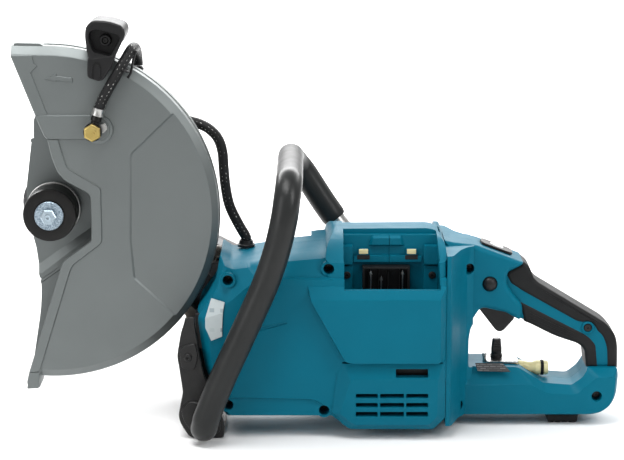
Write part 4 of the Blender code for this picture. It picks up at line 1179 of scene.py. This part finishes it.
def housing_shell():
    """Outer form of the left half, with its raised panel, ledge and belly."""
    half = loose("housing_left_moulding",
                 lofted([(-HALF_GAP, soft(HOUSE)), (-56.0, soft(HOUSE)),
                         (-73.0, soft(HOUSE_SHOULDER)), (-83.6, soft(HOUSE_SIDE)),
                         (-85.0, grown(soft(HOUSE_SIDE), -1.6))]))
    add(half, pillow(rounded(TOWER, 3, 6), -HALF_GAP, -85.6, 7.0, 5))
    cut(half, along_x([(-20, 228.4), (-50, 222), (-70, 213), (-90, 200), (-90, 240),
                        (-20, 240)], 5, 165))
    add(half, lofted([(-80.0, soft(LEDGE_FOOT)), (-84.6, soft(LEDGE_FOOT)),
                      (-88.4, soft(LEDGE_FACE))]))
    add(half, boss(PANEL_FOOT, PANEL_WALL, PANEL_FACE, (-80.0, -85.0, -89.0, -96.6, -97.0)))
    add(half, boss(BELLY_FOOT, BELLY_WALL, BELLY_FACE, (-80.0, -86.0, -89.0, -93.4, -93.8)))
    return half


def cut_side_details(half):
    """Lower strip, crease, vents, window and screw pits of the side."""
    strip = soft([(-118, 10), (-118, 45.6), (-80, 46.4, 6), (5.6, 44.6, 8), (30, 22), (34, 10)],
                 2)
    cut(half, lofted([(-90.0, grown(strip, 2.4)), (-85.2, grown(strip, 1.2)), (-82.9, strip)]))
    crease = soft([(-80, 126.6), (-64.8, 128.2), (-30.2, 134.6), (-27, 133.2), (-62, 123.6),
                   (-80, 121)], 1)
    cut(half, lofted([(-88.0, grown(crease, 1.0)), (-84.9, crease), (-84.0, grown(crease, -0.4))]))
    for x0, x1 in VENT_X:
        for z0, z1 in VENT_Z:
            slot = oblong(x0, x1, z0, z1, 0.8, 2)
            cut(half, lofted([(-96.0, grown(slot, 0.5)), (-93.6, grown(slot, 0.3)),
                              (-93.0, slot), (-79.0, slot)]))
    window = oblong(*WINDOW, 1.2, 3)
    cut(half, prism(window, -97.0, -79.0))
    for x, z in PILLARS:
        add(half, rod(8.6, (x, z), -60.0, -82.0, 30))
        cut(half, turned([(0, -95.0), (6.4, -95.0), (6.4, -84.0), (5.9, -83.2), (5.7, -62.0),
                          (0, -62.0)], spot(x, 0, z), segments=36))


def cut_bay(half):
    """Battery bay: open at the side and the top."""
    cut(half, box((34, -147, 88), (146, 1, 90)))
    cut(half, box((34, -14.7, 88), (146, 1, 223.5)))
    well = [(34.4, 95), (143.6, 95), (143.6, 172), (141.0, 219), (140.0, 260), (35.2, 260),
            (35.2, 219), (34.4, 172)]
    cut(half, prism(well, -84.0, -17.7))
    mouth = [(36.0, 172.6), (143.2, 172.6), (137.2, 222.5), (140, 262), (37.5, 262),
             (35.6, 222.5)]
    cut(half, prism(mouth, -105.0, -80.0))
    cut(half, prism([(35.4, 180), (142.4, 180), (138, 250), (37.0, 250)], -88.0, -60.0))


def make_housing():
    half = housing_shell()
    cut(half, lofted([(-81.0, CAVITY_SIDE), (-62.0, CAVITY), (1.0, CAVITY)]))
    cut_side_details(half)
    cut_bay(half)
    for side, name in ((-1, "left"), (1, "right")):
        piece("vent_screen_" + name, side_box(side, (47, 134), (75.5, 78.0), (24, 86)), "black",
              "saw")
    other = mirrored(half, "housing_right_moulding")
    open_right_front(other)
    finish_piece(half, "teal", "saw", ["housing_left"], 1.0, MOULD_ANGLE)
    finish_piece(other, "teal", "saw", ["housing_right"], 1.0, MOULD_ANGLE)


def open_right_front(half):
    """The right half stops short in front, where the drive arm lies alongside."""
    cut(half, box((-150, 29.7, 0), (-1, 105, 230)))
    front = [point for point in HOUSE if point[0] < -20] + [(-1, 209.6), (-1, 22.7)]
    front.sort(key=lambda point: math.atan2(point[1] - 120, point[0] + 60))
    add(half, prism(grown(front, -0.4), 26.2, 29.5))
    add(half, box((-4.3, 26.5, 24.5), (0.5, 80, 182.5)))
    cut(half, rod(6.5, MOTOR, 20, 40))


def cross_screw(name, place, size, replaced=()):
    """Pan-head screw with a star socket, its head at place and facing the left side."""
    x, y, z = place
    head = loose(name, turned([(0, y + 3.0), (size, y + 3.0), (size, y + size * 0.35),
                               (size * 0.8, y + size * 0.08), (0, y)], spot(x, 0, z),
                              segments=32))
    cut(head, prism(star((x, z), size * 0.52, size * 0.30), y - 1.0, y + size * 0.45))
    finish_piece(head, "black_steel", "saw", replaced, angle=30)


def make_housing_screws():
    for index, (x, z) in enumerate(PILLARS):
        cross_screw(f"housing_screw_{index + 1}", (x, -65.5, z), 4.8)
    cross_screw("bay_screw_front", (39.8, -32.8, 176.1), 4.2)
    cross_screw("bay_screw_rear", (136.5, -32.8, 176.1), 4.2)


def make_bay_fittings(side, name):
    """Contact blades, latch pads, rails and shelf inside one battery bay."""
    def at(y):
        return side * y

    plate = loose("bay_back_" + name, side_box(side, (34.7, 143.3), (18, 26), (95.5, 222.0)))
    shelf = [(47, 191), (47, 198, 1), (52.5, 198), (52.5, 206.5, 1), (64, 206.5, 1), (64, 199),
             (106.5, 199), (106.5, 206.5, 1), (119, 206.5, 1), (119, 198), (124.6, 198, 1),
             (124.6, 191)]
    add(plate, pillow(rounded(shelf, 0.6, 2), at(25), at(30.5), 0.8, 2))
    bump = rounded([(64, 209), (105.4, 209), (101.5, 221.5), (67.5, 221.5)], 3, 3)
    add(plate, lofted([(at(25), bump), (at(26.5), bump), (at(31.0), grown(bump, -2.6))]))
    for x0, x1 in ((34.8, 46.2), (127.0, 143.2)):
        rail = oblong(x0, x1, 189, 211, 1.5, 2)
        add(plate, pillow(rail, at(25), at(34), 1.2, 2))
        lower = oblong(x0, x1, 98, 186.5, 1.5, 2)
        add(plate, pillow(lower, at(25), at(30.5), 0.8, 2))
    cut(plate, side_box(side, (87.2, 87.9), (25.2, 40), (100, 225)))
    finish_piece(plate, "teal", "saw", ["bay_plate_" + name], angle=MOULD_ANGLE)
    for index, x in enumerate((53.2, 107.6)):
        pad = oblong(x, x + 10.4, 200.8, 206.4, 0.8, 2)
        piece(f"latch_pad_{name}_{index + 1}", pillow(pad, at(28), at(32.4), 0.8, 3), "cream",
              "saw")
        # Black block in the gap beside each latch pad: painted shade standing in for the dark of the gap.
        well = oblong(x - 2.0, x + 12.4, 194.4, 199.4, 0.6, 2)
        piece(f"latch_painted_shade_{name}_{index + 1}", pillow(well, at(28), at(30.9), 0.3, 2), "black",
              "saw")
    block = loose("terminal_moulding_" + name,
                  side_box(side, (57.2, 110.8), (26.4, 40), (105.2, 187.8)))
    cut(block, side_box(side, (60, 108), (31, 45), (108, 185)))
    for x in (66.6, 78.0, 88.5, 101.5):
        add(block, side_box(side, (x - 2.6, x - 1.6), (30, 37.5), (140, 184)))
    finish_piece(block, "black", "saw", ["terminal_block_" + name], 0.3, MOULD_ANGLE)
    for index, x in enumerate((66.6, 78.4, 102.6)):
        top = 183.5 if index != 1 else 176.5
        blade = [(x - 0.8, 130), (x + 0.8, 130), (x + 0.8, top - 4.5), (x + 1.9, top - 5.2),
                 (x, top), (x - 1.9, top - 5.2), (x - 0.8, top - 4.5)]
        piece(f"terminal_blade_{name}_{index + 1}", prism(blade, at(30.5), at(38.5)), "steel",
              "saw", edge=0.15)


# --- front handle and bracket ----------------------------------------------------------------

LEG_LOW = [(-121.5, -85.3, 17), (-121.3, -98, 17.3), (-120.4, -107, 19.5),
           (-118.6, -111.5, 27), (-116.2, -112, 35)]
LEG_NEAR = [(-99.7, -112, 76), (-74.9, -112, 131), (-51.5, -112, 184), (-38.2, -112, 223.5),
            (-30.5, -111.5, 257), (-27.2, -106, 279), (-25.4, -92, 292), (-25, -72, 295.5)]
LEG_FAR = [(-25, 0, 295.8), (-25, 70, 295), (-23, 92, 290), (-16.5, 107, 279),
           (-8, 111.5, 267), (12, 112, 235.5), (27.5, 112, 213)]
LEG_END = [(40, 112, 196), (49, 112, 178), (51.5, 111.5, 163), (51.8, 107.5, 154),
           (51.8, 103, 151), (51.8, 98.0, 151)]
LEG_STEPS = 6                    # route points from each of these to the next
SLEEVE_START = 8                 # the route point at the sleeve's lower end
TUBE_RADIUS = 0.0115
SLEEVE_RADIUS = 0.0150


def make_front_handle():
    """Bent tube across the saw, and the foam sleeve over all of it but its ends."""
    route = smooth_route(LEG_LOW + LEG_NEAR + LEG_FAR + LEG_END, LEG_STEPS)
    piece("handle_tube", swept(route, TUBE_RADIUS, 40), "steel", "saw", ["front_handle_tube"],
          angle=50)
    last = LEG_STEPS * (len(LEG_LOW) + len(LEG_NEAR) + len(LEG_FAR) - 1)
    part = route[SLEEVE_START:last + 1]
    sizes = [1.0] * len(part)
    sizes[0] = sizes[-1] = 0.93
    piece("handle_sleeve_foam", swept(part, SLEEVE_RADIUS, 48, sizes), "sleeve", "saw",
          ["front_handle_sleeve"], angle=60)


BRACKET = [(-137.8, 140.5), (-142.8, 133.5), (-146.3, 123.2), (-149.3, 107), (-151.1, 95.4),
           (-149.1, 82.7), (-145, 53.5), (-148.6, 36), (-150.4, 25.4), (-147.7, 16),
           (-139, 2), (-134, 0), (-99, 0), (-99, 21), (-104.2, 30), (-121.3, 74.6),
           (-126.2, 99), (-131.2, 134), (-130.2, 140.5)]


def make_bracket():
    """Steel bracket round the front of the housing, with its lug and clamp plate."""
    outline = rounded(BRACKET, 4, 3)
    bracket = loose("bracket_pressing", pebble(outline, -85.0, 85.0, 1.6))
    inner = [(-126, 145), (-140, 134), (-144.8, 107), (-146.6, 95.4), (-144.6, 82.7),
             (-140.5, 53.5), (-144, 36), (-145.9, 25.4), (-143.6, 16), (-136.5, 5), (-80, 5),
             (-80, 100)]
    cut(bracket, prism(inner, -80.5, 80.5))
    cut(bracket, box((-160, -80.1, 112), (-120, 80.1, 150)))
    cut(bracket, box((-160, 26, 78), (-90, 90, 150)))
    lug = rounded([(-148.5, 106), (-146.0, 82), (-131, 80), (-127.5, 96), (-130, 112)], 5, 4)
    add(bracket, pillow(lug, -83.0, -88.4, 1.4, 3))
    shoe = rounded([(-147.5, 34), (-144, 20), (-133, 5), (-112, 3.5), (-103, 8), (-104, 24),
                    (-112, 33), (-124, 42), (-138, 44)], 5, 4)
    add(bracket, pillow(shoe, -83.0, -88.8, 1.6, 3))
    finish_piece(bracket, "black_steel", "saw", ["front_bracket"], 0.5, MOULD_ANGLE)
    cross_screw("bracket_screw_head", (-138.8, -91.4, 95.1), 4.6, ["bracket_screw"])


# --- rear handle -----------------------------------------------------------------------------

HANDLE_X = 150.3
STRUT = [(HANDLE_X, 10.6, 0), (322, 10.6, 8), (335, 14, 8), (345, 22, 8), (350.6, 35, 8),
         (352, 58, 4), (350.5, 66, 2), (316, 66, 4), (309, 55.5, 8), (298.7, 46.5, 8),
         (265.8, 48.3, 8), (236.7, 67.0, 6), (178.9, 67.8, 3), (176, 104, 10),
         (HANDLE_X, 108, 0)]
STRUT_TOP = [(HANDLE_X, 13, 0), (321, 13, 8), (333, 16, 8), (342.6, 23.5, 8), (347.8, 35.5, 8),
             (349, 57, 4), (345, 59.0, 2), (326, 58.4, 4), (315.4, 50.4, 8), (305.1, 38.5, 8),
             (269.5, 39.2, 8), (252.5, 49.7, 6), (178.7, 48.9, 3), (172, 52, 4),
             (HANDLE_X, 54, 0)]
ARM = [(239.6, 191.0, 3), (247.8, 184.6, 5), (254, 169.4, 6), (259, 164.8, 6),
       (337.4, 117.2, 14), (348.7, 102.6, 9), (351.4, 90, 8), (352, 62.5, 1), (316.4, 62.5, 1),
       (313.4, 86.4, 5), (305.5, 92.9, 5), (279, 101.7, 10), (249.3, 116.9, 4),
       (243, 119, 3), (238, 121, 2), (222, 134, 3), (216, 152, 4), (219, 185, 4)]
HEAD = [(HANDLE_X, 108, 0), (178.9, 104, 6), (181.4, 119, 6), (193.0, 137.5, 6),
        (222, 131, 2), (231, 125.5, 2), (237, 122.5, 2), (239.5, 125, 3), (241, 140, 8),
        (229, 153, 8), (221.5, 165, 6), (223, 179, 4), (239, 186.8, 2), (241, 190, 2),
        (195.1, 207.3, 6), (187, 210.3, 6), (158.3, 213.8, 6), (HANDLE_X, 216, 0)]
UPPER_GRIP = [(239.6, 190.8, 2), (247.6, 184.6, 5), (254.0, 169.4, 6), (259, 164.8, 6),
              (337.4, 117.2, 14), (348.9, 102.6, 9), (351.5, 91, 8), (352.2, 63.6, 0.6),
              (339.4, 63.6, 0.6), (338, 88.9, 5), (333.1, 101.4, 5), (327.0, 107.2, 1),
              (323.8, 112.7, 2), (320.5, 116.6, 2), (315.6, 118.0, 2), (310.6, 117.0, 1),
              (303, 118.6, 4), (241.2, 153.6, 4), (226.5, 163.4, 3), (220.9, 174, 3),
              (221.7, 177.9, 3), (237.6, 186.2, 2)]
LOWER_GRIP = [(235.3, 145.4, 2), (310, 107, 4), (319.3, 101.4, 6), (327.3, 91.9, 5),
              (330.2, 63.6, 0.6), (316.2, 63.6, 0.6), (313.2, 86.2, 5), (305.5, 92.6, 5),
              (279.0, 101.4, 10), (249.5, 116.4, 4), (243, 118.9, 2)]
FLANK = [(150.2, -0.2), (150.2, -85.0), (154.5, -84.4), (157, -82.0), (167, -52), (176, -37),
         (184, -31), (184, -0.2)]        # x and y: the slope from the housing's side inwards
HANDLE_PILLARS = [(178.2, 184.2, 30.0), (166.4, 27.5, 38.0), (326.7, 34.8, 38.0)]
HANDLE_SCREW = (316.5, 111.9)
WATER_LEVEL = 59                 # z of the connector's axis
BUTTON = (202.5, 165.6)


def make_rear_handle():
    strut = rounded(STRUT, 3, 4)
    strut_top = rounded(STRUT_TOP, 3, 4)
    half = loose("handle_left_moulding",
                 lofted([(-HALF_GAP, strut), (-27.0, strut), (-36.5, strut_top),
                         (-38.0, grown(strut_top, -1.2))]))
    add(half, pillow(rounded(HEAD, 3, 4), -HALF_GAP, -30.0, 6.0))
    add(half, pillow(grown(rounded(ARM, 3, 4), -1.2), -HALF_GAP, -20.0, 5.0))
    add(half, upright(FLANK, 14.0, 210.0))
    hole = rounded([(192.8, 130.2), (181.4, 115.1), (179, 102.4), (178.9, 68), (236.7, 66.8),
                    (265.8, 48.3), (298.7, 45.8), (310.9, 55), (316.4, 64), (313.4, 86.4),
                    (305.5, 92.9), (279, 101.7), (249.3, 116.9), (243, 119), (237, 115.5),
                    (220, 125)], 3, 3)
    cut(half, prism(hole, -60, 5))
    slot = [(187, 124), (187, 150), (240, 150), (240, 121), (236, 110), (200, 100)]
    cut(half, prism(slot, -8.5, 10))
    for x, z, depth in HANDLE_PILLARS:
        cut(half, turned([(0, -depth - 9), (6.4, -depth - 9), (6.2, -depth + 0.4),
                          (5.8, -depth + 1.2), (5.6, -depth + 13), (0, -depth + 13)],
                         spot(x, 0, z), segments=36))
    cut(half, bar(9.5, 234, 300, spot(0, 0, WATER_LEVEL), (1, 0, 0), 32))
    cut(half, box((203.5, -12.3, 49.7), (238.5, 10, 70)))
    other = mirrored(half, "handle_right_moulding")
    cut(half, turned([(0, -45), (8.9, -45), (8.9, -30.2), (8.5, -29.4), (8.5, -12), (0, -12)],
                     middle_spot(BUTTON), segments=40))
    finish_piece(half, "teal", "saw", ["handle_left"], 0.7, MOULD_ANGLE)
    finish_piece(other, "teal", "saw", ["handle_right"], 0.7, MOULD_ANGLE)
    for index, (x, z, depth) in enumerate(HANDLE_PILLARS):
        cross_screw(f"handle_screw_{index + 1}", (x, -depth + 9.6, z), 4.8)
    cross_screw("grip_arm_screw", (HANDLE_SCREW[0], -22.6, HANDLE_SCREW[1]), 4.7,
                ["handle_screw"])
    ring = [(4.9, -19.0), (7.0, -19.0), (7.0, -21.8), (6.5, -22.3), (5.3, -22.3), (4.9, -21.6)]
    piece("grip_arm_screw_ring", turned(ring, middle_spot(HANDLE_SCREW), segments=40), "teal",
          "saw")
    make_grips()


def make_grips():
    for name, outline in (("upper_grip", UPPER_GRIP), ("lower_grip", LOWER_GRIP)):
        line = rounded(outline, 3, 4)
        cushion = loose(name + "_left_cushion", pillow(line, -0.2, -21.6, 5.0, 5))
        if name == "lower_grip":
            for shift in (0.0, 5.5):
                rib = [(249, 129 - shift), (300, 104.6 - shift * 0.8), (300.5, 105.5 - shift * 0.8),
                       (249.5, 129.9 - shift)]
                add(cushion, prism(rib, -19.0, -22.1))
        other = mirrored(cushion, name + "_right_cushion")
        finish_piece(cushion, "rubber", "saw", [name + "_left"], angle=SOFT_ANGLE)
        finish_piece(other, "rubber", "saw", [name + "_right"], angle=SOFT_ANGLE)


# --- controls --------------------------------------------------------------------------------

TRIGGER = [(189.5, 134.5, 1), (212, 105.2, 2), (216.8, 102.9, 3), (221.5, 105.2, 2),
           (232.6, 117.8, 1), (233.5, 121, 1), (232, 132, 1), (214, 132, 1), (208, 146, 1),
           (192, 145, 1)]


def make_controls():
    blade = loose("trigger_blade", pebble(rounded(TRIGGER, 2, 3), -8.0, 8.0, 2.0, 4))
    finish_piece(blade, "black", "trigger", ["trigger"], angle=SOFT_ANGLE)
    dome = [(0, -34.6), (3.0, -34.3), (5.6, -33.2), (7.3, -31.6), (8.1, -29.6), (8.2, -17.6),
            (0, -17.6)]
    piece("lock_off_cap", turned(dome, middle_spot(BUTTON), segments=48), "black",
          "lock_off_button", ["lock_off_button"], angle=45)
    make_switch_panel()


def tile(outline, low, high, edge):
    """Flat tile drawn in X and Y with turned-over top edges, in metres from its own middle."""
    bm = bmesh.new()
    face = bm.faces.new([bm.verts.new((x * MM, y * MM, low * MM)) for x, y in outline])
    verts = thicken(bm, [face], (0, 0, (high - low) * MM))
    top = [e for e in bm.edges if all(v in verts for v in e.verts)]
    bmesh.ops.bevel(bm, geom=top, offset=edge * MM, segments=3, profile=0.5, affect="EDGES",
                    material=-1)
    bmesh.ops.recalc_face_normals(bm, faces=bm.faces)
    return bm


SWITCH_MIDDLE = (211, 0, 201.6)
SWITCH_SLOPE = math.atan2(17.0, 45.2)


def switch_tile(outline, low, high, edge):
    """Tile laid on the slope above the trigger."""
    bm = tile(outline, low, high, edge)
    turn = Matrix.Translation(spot(*SWITCH_MIDDLE)) @ Matrix.Rotation(SWITCH_SLOPE, 4, "Y")
    bmesh.ops.transform(bm, matrix=turn, verts=bm.verts)
    return bm


def make_switch_panel():
    """Plate above the trigger, with the oval power button in it."""
    plate = rounded([(-18, -14.5, 5), (15, -14.5, 3), (19, -10, 3), (19, 8, 3), (15, 12.5, 3),
                     (-18, 12.5, 5), (-20, 0, 8)], 3, 4)
    body = loose("switch_plate", switch_tile(plate, 0.0, 3.0, 0.9))
    oval = [(8.4 * math.cos(a * math.pi / 24), 7.6 * math.sin(a * math.pi / 24))
            for a in range(48)]
    cut(body, switch_tile(grown(oval, 0.5), 0.4, 6.0, 0.1))
    finish_piece(body, "black", "saw", ["control_panel"], 0.2, MOULD_ANGLE)
    piece("power_cap", switch_tile(oval, 1.4, 3.6, 0.8), "white", "power_button",
          ["power_button"])
    mark = [(x * 0.45, y * 0.45) for x, y in oval]
    piece("power_cap_inlay", switch_tile(mark, 3.4, 3.8, 0.1), "sticker", "power_button")


def make_tap():
    tap = spot(214, 0, 0)
    knob = [(0, 56.5), (3.0, 56.5), (3.0, 70.6), (6.6, 70.6), (7.0, 71.4), (7.0, 75.0),
            (6.0, 76.0), (6.2, 78.0), (6.2, 82.0), (5.0, 93.0), (4.4, 93.8), (0, 93.8)]
    body = loose("tap_knob", turned(knob, tap, (0, 0, 1), 40))
    for side in (-1, 1):
        cut(body, side_box(side, (200, 228), (4.2, 12), (79, 99)))
        for z in (83.0, 86.0, 89.0):
            cut(body, side_box(side, (205, 223), (3.7, 12), (z, z + 0.9)))
    finish_piece(body, "black", "tap", ["valve_knob"], 0.3, MOULD_ANGLE)
    plate = tile(oblong(-12, 24.5, -15, 15, 2, 3), 68.2, 70.2, 0.4)
    bmesh.ops.translate(plate, vec=(214 * MM + DRAWING_X, 0, 0), verts=plate.verts)
    mount = loose("tap_plate", plate)
    cut(mount, bar(3.4, 60, 80, tap, (0, 0, 1), 24))
    finish_piece(mount, "steel", "saw", ["valve_plate"])
    peg = [(0, 66.0), (2.0, 66.0), (2.0, 74.0), (2.6, 74.6), (2.6, 77.4), (1.9, 78.2), (0, 78.2)]
    piece("tap_stop_peg", turned(peg, spot(199.6, -6, 0), (0, 0, 1), 24), "steel", "saw")
    neck = [(0, 238.6), (8.8, 238.6), (8.8, 241.0), (8.0, 243.2), (8.2, 246.0), (7.4, 248.0),
            (6.7, 252.0), (6.6, 256.0), (8.2, 258.8), (8.6, 260.4), (8.6, 264.8), (7.4, 265.0),
            (7.4, 269.0), (8.6, 269.2), (8.6, 272.2), (7.6, 274.0), (5.0, 274.0), (4.6, 268.0),
            (0, 268.0)]
    inlet = spot(0, 0, WATER_LEVEL)
    spout = loose("connector_moulding", turned(neck, inlet, (1, 0, 0), 48))
    for side in (-1, 1):
        cut(spout, side_box(side, (244.5, 251.5), (6.8, 12), (50, 68)))
    finish_piece(spout, "cream", "saw", ["hose_connector"], angle=SOFT_ANGLE)
    seal = [(7.5, 265.4), (8.6, 265.3), (9.0, 266.2), (9.0, 267.8), (8.6, 268.7), (7.5, 268.6)]
    piece("connector_seal", turned(seal, inlet, (1, 0, 0), 48), "rubber", "saw",
          ["connector_o_ring"], angle=60)
    body = loose("tap_body", box((204.2, -11.8, 50.4), (238.0, 11.8, 66.3)))
    cut(body, bar(3.4, 56, 70, tap, (0, 0, 1), 24))
    finish_piece(body, "brass", "saw", ["water_valve"], 0.8)


# --- drive side ------------------------------------------------------------------------------

def belt_outline(first_radius, second_radius, steps=20):
    """Outline round the spindle and motor circles with their outer tangents."""
    dx = MOTOR[0] - SPINDLE[0]
    dz = MOTOR[1] - SPINDLE[1]
    heading = math.degrees(math.atan2(dz, dx))
    spread_angle = math.degrees(math.acos((first_radius - second_radius) / math.hypot(dx, dz)))
    around = arc(SPINDLE, first_radius, heading + spread_angle, heading + 360 - spread_angle,
                 steps)
    return around + arc(MOTOR, second_radius, heading - spread_angle, heading + spread_angle,
                        steps)


def arm_place(share, aside=0.0):
    """A place on the arm's middle line, from the spindle to the motor, and aside of it."""
    along = Vector(MOTOR) - Vector(SPINDLE)
    across = Vector((-along.y, along.x)).normalized() * aside
    place = Vector(SPINDLE) + along * share + across
    return place.x, place.y


def make_drive_side():
    arm = loose("arm_casting", pillow(belt_outline(40, 50), 66.0, 30.0, 3.0))
    cut(arm, prism(belt_outline(36.5, 46.5), 34.5, 80))
    add(arm, turned([(0, 0.3), (21.9, 0.3), (22.5, 1.0), (22.5, 27), (28, 32.5), (0, 32.5)],
                    middle_spot(SPINDLE), segments=72))
    cut(arm, rod(17.8, SPINDLE, -1, 36, 48))
    cut(arm, rod(6.5, MOTOR, 20, 36))
    for share in (0.22, 0.40, 0.58, 0.76):
        x, z = arm_place(share)
        rib = oblong(x - 2.4, x + 2.4, z - 30, z + 30, 1, 2)
        add(arm, pillow(rib, 31.0, 26.4, 1.0, 2))
    finish_piece(arm, "dark_metal", "saw", ["drive_arm"], 0.5, MOULD_ANGLE)
    cover = loose("arm_cover_moulding", pillow(belt_outline(40, 50), 66.3, 84.5, 5.0))
    cut(cover, prism(belt_outline(36.5, 46.5), 60, 81.5))
    for share, radius in ((0.0, 26), (1.0, 32)):
        x, z = arm_place(share)
        cut(cover, turned([(radius - 3, 83.4), (radius + 3, 83.4), (radius + 3, 90),
                           (radius - 3, 90)], spot(x, 0, z), segments=64))
    for index in range(6):
        x, z = arm_place(0.30 + index * 0.065)
        slot = oblong(x - 2.2, x + 2.2, z - 20, z + 20, 2, 3)
        cut(cover, prism(slot, 83.2, 90))
    finish_piece(cover, "black", "saw", ["arm_cover"], 0.5, MOULD_ANGLE)
    for index, (share, aside) in enumerate(((0.12, 33), (0.12, -33), (0.5, 38), (0.5, -38),
                                            (0.9, 41), (0.9, -41))):
        x, z = arm_place(share, aside)
        screw = turned([(0, 84.2), (3.6, 84.2), (3.6, 85.8), (2.9, 86.6), (0, 86.6)],
                       spot(x, 0, z), segments=24)
        item = loose(f"cover_screw_{index + 1}", screw)
        cut(item, prism(arc((x, z), 1.7, 0, 300, 5), 85.4, 88))
        finish_piece(item, "steel", "saw")
    make_arm_collar()


def make_arm_collar():
    """Ribbed collar and castings seen between the guard and the housing."""
    lean = Vector((0.62, 0, 0.78)).normalized()
    profile = [(0, -9), (8.2, -9), (8.2, -5.4), (6.8, -4.8), (6.8, -2.8), (8.2, -2.2), (8.2, 1.4),
               (6.8, 2.0), (6.8, 4.0), (8.2, 4.6), (8.2, 8.0), (7.4, 9.0), (0, 9)]
    piece("arm_collar", turned(profile, spot(-108.5, 24, 187.5), lean, 40), "bronze", "saw",
          angle=TURNED_ANGLE)
    block = rounded([(-124, 178), (-108, 183), (-103, 170), (-117, 162)], 2, 3)
    piece("arm_block", pillow(block, 28.0, 14.0, 1.6), "dark_metal", "saw")
    piece("bracket_web", box((-131.5, -70, 100), (-120, -48, 141)), "black", "saw", edge=1.0)
    foot = rounded([(-150, 126), (-142, 134), (-128, 120), (-132, 108), (-143, 108)], 3, 3)
    piece("arm_foot", pillow(foot, 30.0, 8.0, 2.0), "bronze", "saw")


# --- trim --------------------------------------------------------------------------------------

def make_foot():
    outline = rounded([(272.5, 0), (306, 0), (308, 10.2), (271, 10.2)], 1.5, 3)
    block = loose("rear_foot_rubber", pebble(outline, -26.0, 26.0, 2.0))
    for x in (279, 287, 295):
        cut(block, prism([(x, -1), (x + 2.2, -1), (x + 2.2, 1.4), (x, 1.4)], -30, 30))
    finish_piece(block, "rubber", "saw", ["rear_foot"])


def make_strut_label():
    """Leaning label on the lower strut of the rear handle."""
    plate = rounded([(186.9, 73.4), (218.6, 73.2), (227.4, 62.9), (189.8, 63.6)], 0.8, 2)
    label = prism(plate, -33.2, -34.2)
    lean = Matrix.Rotation(math.radians(-33), 4, "X")
    middle = spot(207, -33.7, 68.2)
    shift = Matrix.Translation(middle) @ lean @ Matrix.Translation(-middle)
    bmesh.ops.transform(label, matrix=shift, verts=label.verts)
    piece("strut_label", label, "label", "saw")


def make_safety_plate():
    """Thin metal plate bent round the front of the housing's side."""
    outer = [(-112, -78.4, 161), (-118.5, -85.6, 140), (-118.5, -85.8, 129), (-112, -85.9, 114)]
    inner = [(-97, -85.6, 158), (-99, -86.1, 146), (-100, -86.1, 128), (-100, -86.1, 119)]
    bm = bmesh.new()
    rows = [[bm.verts.new(spot(*place)) for place in row] for row in (outer, inner)]
    sheet = [bm.faces.new((rows[0][i], rows[0][i + 1], rows[1][i + 1], rows[1][i]))
             for i in range(3)]
    thicken(bm, sheet, (-0.0004, -0.0009, 0))
    bmesh.ops.recalc_face_normals(bm, faces=bm.faces)
    piece("safety_plate", bm, "sticker", "saw", angle=15)


def main():
    clear_start()
    make_camera()
    make_studio()
    dress_nodes()
    make_hoses()
    make_guard_near()
    make_guard_far()
    make_guard_grip()
    make_clamp()
    make_water_fittings()
    make_housing()
    make_housing_screws()
    make_bay_fittings(-1, "left")
    make_bay_fittings(1, "right")
    make_front_handle()
    make_bracket()
    make_rear_handle()
    make_controls()
    make_tap()
    make_drive_side()
    make_foot()
    make_strut_label()
    make_safety_plate()


main()
with open("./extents.json", "w") as size_file:
    json.dump({"cad": [list(map(float, corner)) for corner in CAD_BOX],
               "visual": [list(map(float, corner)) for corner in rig.bounds()]}, size_file)
